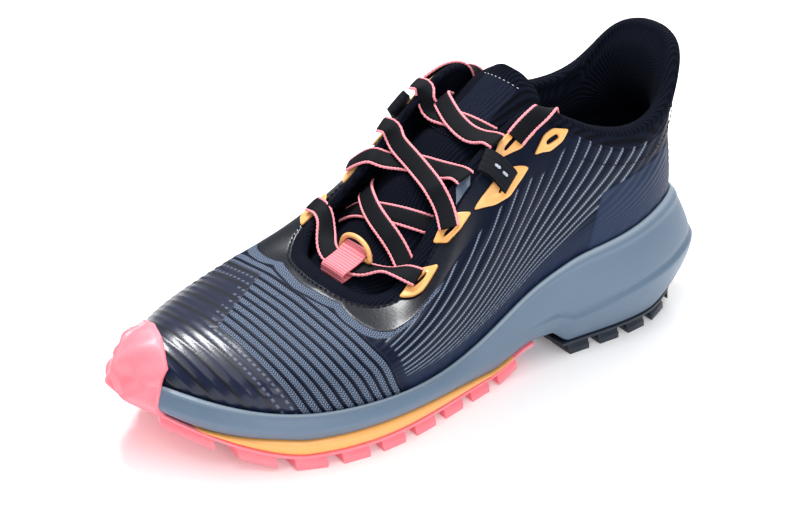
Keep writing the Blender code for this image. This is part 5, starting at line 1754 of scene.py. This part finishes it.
def make_laces(finishes):
    over_all = throat_skins(True)
    wall = throat_skins(False)
    for label, route in (("lateral", END_LATERAL), ("medial", END_MEDIAL)):
        made, path, length = make_lace(f"tape_end_{label}", f"lace_end_{label}", [route], wall, finishes)
        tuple(path[0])
    for name, routes in (("first_bar", [TAUT_BAR]), ("lower_crossing", [LOWER_UNDER, LOWER_OVER + LOWER_TUCK]),
                         ("middle_crossing", [MIDDLE_UNDER, MIDDLE_START + MIDDLE_OVER]),
                         ("top_crossing", [TOP_START + TOP_UNDER, TOP_OVER])):
        make_lace(f"tape_{name}", f"lace_{name}", routes, over_all, finishes)


# Stitches: pitch, length and width of each kind

LABEL_STITCH = (0.0021, 0.0011, 0.0004)
SEAM_STITCH = (0.0019, 0.0014, 0.0006)
EDGE_STITCH = (0.0024, 0.0017, 0.0005)
LOOP_DASH = (0.0008, 0.0018, 0.0012)
# Lines below the edge: first station, last station, drop, lift
EDGE_LINES = ((-6.0, 6.0, 0.0115, 0.0006), (8.0, ROUND - 8.0, 0.0056, 0.0005))


def stitch_tree(finish):
    """Geometry nodes that lay small stitches at a pitch along a line, each flat on the skin under it."""
    tree = bpy.data.node_groups.new("stitch_run", "GeometryNodeTree")
    tree.interface.new_socket("Geometry", in_out="INPUT", socket_type="NodeSocketGeometry")
    for name in ("Pitch", "Length", "Width"):
        tree.interface.new_socket(name, in_out="INPUT", socket_type="NodeSocketFloat")
    tree.interface.new_socket("Geometry", in_out="OUTPUT", socket_type="NodeSocketGeometry")
    given = tree.nodes.new("NodeGroupInput")
    result = tree.nodes.new("NodeGroupOutput")
    curve = tree.nodes.new("GeometryNodeMeshToCurve")
    spaced = tree.nodes.new("GeometryNodeResampleCurve")
    spaced.mode = "LENGTH"
    bead = tree.nodes.new("GeometryNodeMeshIcoSphere")
    bead.inputs["Radius"].default_value = 0.5
    bead.inputs["Subdivisions"].default_value = 2
    tangent = tree.nodes.new("GeometryNodeInputTangent")
    facing = tree.nodes.new("GeometryNodeInputNamedAttribute")
    facing.data_type = "FLOAT_VECTOR"
    facing.inputs["Name"].default_value = "facing"
    lengthwise = tree.nodes.new("FunctionNodeAlignRotationToVector")
    lengthwise.axis = "X"
    flat = tree.nodes.new("FunctionNodeAlignRotationToVector")
    flat.axis = "Z"
    flat.pivot_axis = "X"
    size = tree.nodes.new("ShaderNodeCombineXYZ")
    laid = tree.nodes.new("GeometryNodeInstanceOnPoints")
    real = tree.nodes.new("GeometryNodeRealizeInstances")
    painted = tree.nodes.new("GeometryNodeSetMaterial")
    painted.inputs["Material"].default_value = finish
    for start, output, end, entry in (
            (given, "Geometry", curve, "Mesh"), (curve, "Curve", spaced, "Curve"),
            (given, "Pitch", spaced, "Length"), (given, "Length", size, "X"),
            (given, "Width", size, "Y"), (given, "Width", size, "Z"),
            (tangent, "Tangent", lengthwise, "Vector"), (lengthwise, "Rotation", flat, "Rotation"),
            (facing, "Attribute", flat, "Vector"), (spaced, "Curve", laid, "Points"),
            (bead, "Mesh", laid, "Instance"), (flat, "Rotation", laid, "Rotation"),
            (size, "Vector", laid, "Scale"), (laid, "Instances", real, "Geometry"),
            (real, "Geometry", painted, "Geometry"), (painted, "Geometry", result, "Geometry")):
        tree.links.new(start.outputs[output], end.inputs[entry])
    return tree


def stitches(name, runs, tree, slot, pitch, length, width):
    """Stitches along several lines; each line is points with the way its skin faces."""
    points, edges, ways = [], [], []
    for line, facing in runs:
        start = len(points)
        points += [tuple(p) for p in line]
        ways += [tuple(w) for w in facing]
        edges += [(start + k, start + k + 1) for k in range(len(line) - 1)]
    mesh = bpy.data.meshes.new(name)
    mesh.from_pydata(points, edges, [])
    layer = mesh.attributes.new("facing", "FLOAT_VECTOR", "POINT")
    layer.data.foreach_set("vector", np.array(ways, np.float32).ravel())
    made = add_to_scene(name, mesh)
    modifier = made.modifiers.new("stitches", "NODES")
    modifier.node_group = tree
    sizes = {"Pitch": pitch, "Length": length, "Width": width}
    for item in tree.interface.items_tree:
        if item.in_out == "INPUT" and item.name in sizes:
            modifier[item.identifier] = sizes[item.name]
    plain_mesh(made)
    made.data.shade_smooth()
    return on_shoe(made, slot)


def tongue_line(places, lift):
    """A line over the tongue through (along, across) places, with the way it faces."""
    pairs = [tongue_point(along, across, lift) for along, across in places]
    return [spot for spot, _ in pairs], [way for _, way in pairs]


def edge_line(first, last, drop, lift):
    """A line below the opening's edge between two stations."""
    stations = np.linspace(first, last, 90)
    places = [(s, share_below(s, drop)) for s in stations]
    return ([wall_point(s, h, lift) for s, h in places], [wall_normal(s, h) for s, h in places])


def make_stitches(dark, pale, loop_dashes):
    dark_tree, pale_tree = stitch_tree(dark), stitch_tree(pale)
    middle, side, half_long, half_wide = LABEL
    border = [(middle - half_long, side + s * half_wide) for s in np.linspace(-1.0, 1.0, 24)]
    stitches("label_stitches", [tongue_line(border, 0.0004)], pale_tree, "knit", *LABEL_STITCH)
    seam = [(SEAM_ALONG - SEAM_BOW * a * a, a) for a in np.linspace(-0.016, 0.016, 60)]
    stitches("tongue_seam", [tongue_line(seam, 0.0006)], dark_tree, "knit", *SEAM_STITCH)
    collar = [edge_line(*row) for row in EDGE_LINES]
    stitches("edge_stitches", collar, dark_tree, "mesh_upper", *EDGE_STITCH)
    stitches("loop_dashes", loop_dashes, pale_tree, "webbing", *LOOP_DASH)


# Camera, lights and floor

CAMERA_TURN = math.radians(48.1)
CAMERA_RISE = math.radians(25.0)
CAMERA_ROLL = math.radians(4.0)
CAMERA_DISTANCE = 0.701
CAMERA_TARGET = np.array([0.0, -0.095, 0.045])
PHOTO_WIDTH = 800.0
PHOTO_FOCAL = 1763.0
PHOTO_SHIFT = (30.0, -2.0)
SENSOR = 36.0
# Lights, all aimed at one place: name, place, size, power
LIGHT_TARGET = (0.0, -0.09, 0.04)
LIGHTS = (
    ("overhead", (0.25, -0.2, 1.4), (1.4, 1.4), 11.5),
    ("key", (-0.55, -0.05, 1.15), (0.30, 0.30), 15.0),
    ("side_fill", (1.2, -0.35, 0.6), (0.8, 0.6), 5.5),
    ("back_rim", (-0.5, 0.9, 0.8), (0.7, 0.4), 5.0),
)
FLOOR_REACH = 6.0
FLOOR_GLOW = 0.16
SKY_STRENGTH = 0.38


def view_axes():
    back = np.array([math.sin(CAMERA_TURN) * math.cos(CAMERA_RISE),
                     -math.cos(CAMERA_TURN) * math.cos(CAMERA_RISE), math.sin(CAMERA_RISE)])
    level = np.array([math.cos(CAMERA_TURN), math.sin(CAMERA_TURN), 0.0])
    rise = np.cross(back, level)
    right = math.cos(CAMERA_ROLL) * level + math.sin(CAMERA_ROLL) * rise
    up = -math.sin(CAMERA_ROLL) * level + math.cos(CAMERA_ROLL) * rise
    return right, up, back


def make_camera():
    right, up, back = view_axes()
    lens = bpy.data.cameras.new("photo_camera")
    lens.sensor_width = SENSOR
    lens.lens = PHOTO_FOCAL * SENSOR / PHOTO_WIDTH
    lens.shift_x = -PHOTO_SHIFT[0] / PHOTO_WIDTH
    lens.shift_y = PHOTO_SHIFT[1] / PHOTO_WIDTH
    lens.clip_start = 0.01
    camera = add_to_scene("photo_camera", lens)
    spot = CAMERA_TARGET + back * CAMERA_DISTANCE
    camera.matrix_world = Matrix([[right[k], up[k], back[k], spot[k]] for k in range(3)] + [[0, 0, 0, 1]])
    bpy.context.scene.camera = camera


def add_light(name, spot, size, power):
    lamp = bpy.data.lights.new(name, "AREA")
    lamp.shape = "RECTANGLE"
    lamp.size, lamp.size_y = size
    lamp.energy = power
    made = add_to_scene(name, lamp)
    made.location = spot
    made.rotation_euler = (Vector(LIGHT_TARGET) - Vector(spot)).to_track_quat("-Z", "Y").to_euler()


def make_studio():
    """A pale floor, a wide soft light above, a key from the toe's side and a low fill."""
    mesh = bpy.data.meshes.new("floor")
    corners = [(x * FLOOR_REACH, y * FLOOR_REACH, 0) for x, y in ((-1, -1), (1, -1), (1, 1), (-1, 1))]
    mesh.from_pydata(corners, [], [(0, 1, 2, 3)])
    floor = add_to_scene("floor", mesh)
    pale = Finish("pale_floor", "#FBFBFC", 0.6)
    pale.set("Emission Color", (1.0, 1.0, 1.0)).set("Emission Strength", FLOOR_GLOW)
    mesh.materials.append(pale.material)
    for row in LIGHTS:
        add_light(*row)
    world = bpy.data.worlds.new("studio")
    world.use_nodes = True
    backdrop = world.node_tree.nodes["Background"]
    backdrop.inputs["Color"].default_value = (1.0, 1.0, 1.0, 1.0)
    backdrop.inputs["Strength"].default_value = SKY_STRENGTH
    bpy.context.scene.world = world
    bpy.context.scene.view_settings.view_transform = "Standard"


# The whole shoe


def build():
    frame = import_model()
    make_camera()
    lace_finishes = [yarn_finish("lace_black", "#020307", "#090C14"),
                     yarn_finish("lace_pink", "#FFABB4", "#FA8C99", 0.6)]
    make_laces(lace_finishes)
    lining = knit_finish("collar_lining", "#04070F", "#0F1526", 0.0011, 0.6).material
    make_upper(upper_finish(), lining)
    make_tongue(tongue_finish())
    make_midsole(foam_finish())
    make_insert(film_finish("peach_foam", "#FBB868", "#F5A552"))
    make_forefoot_tread(rubber_finish("coral_rubber", "#FF8F9C", "#FF7988", 0.0012))
    make_heel_tread(rubber_finish("navy_rubber", "#1A2436", "#121A28", 0.0012))
    peach = film_finish("peach_film", "#FDBE74", "#F9AE5E")
    black_webbing = woven_finish("black_webbing", "#04060B", "#141926", 0.0009, 0.0016)
    dashes = []
    for side in (1, -1):
        for number in PATCH_CORNERS:
            make_patch(side, number, peach)
        _, lines, way = make_lace_loop(side, black_webbing)
        dashes += [(line, [way, way]) for line in lines]
    make_keeper(woven_finish("coral_webbing", "#E8606F", "#FFA9B2", 0.0013, 0.0011))
    # Painted highlight: the underlay is a real film piece, coloured pale for the glint it shows.
    make_tape(film_finish("underlay_painted_glint", "#55647A", "#3D4A5E"))
    make_ring(film_finish("peach_ring", "#FDC07A", "#F9B066"))
    sockliner = knit_finish("sockliner", "#0A0F1B", "#161D2D", 0.0010, 0.0).material
    frame["nodes"]["insole"].data.materials.clear()
    frame["nodes"]["insole"].data.materials.append(sockliner)
    dark_thread = yarn_finish("dark_thread", "#080C17", "#111829")
    pale_thread = yarn_finish("pale_thread", "#C9CFDA", "#AAB3C4")
    make_stitches(dark_thread, pale_thread, dashes)
    make_studio()


build()
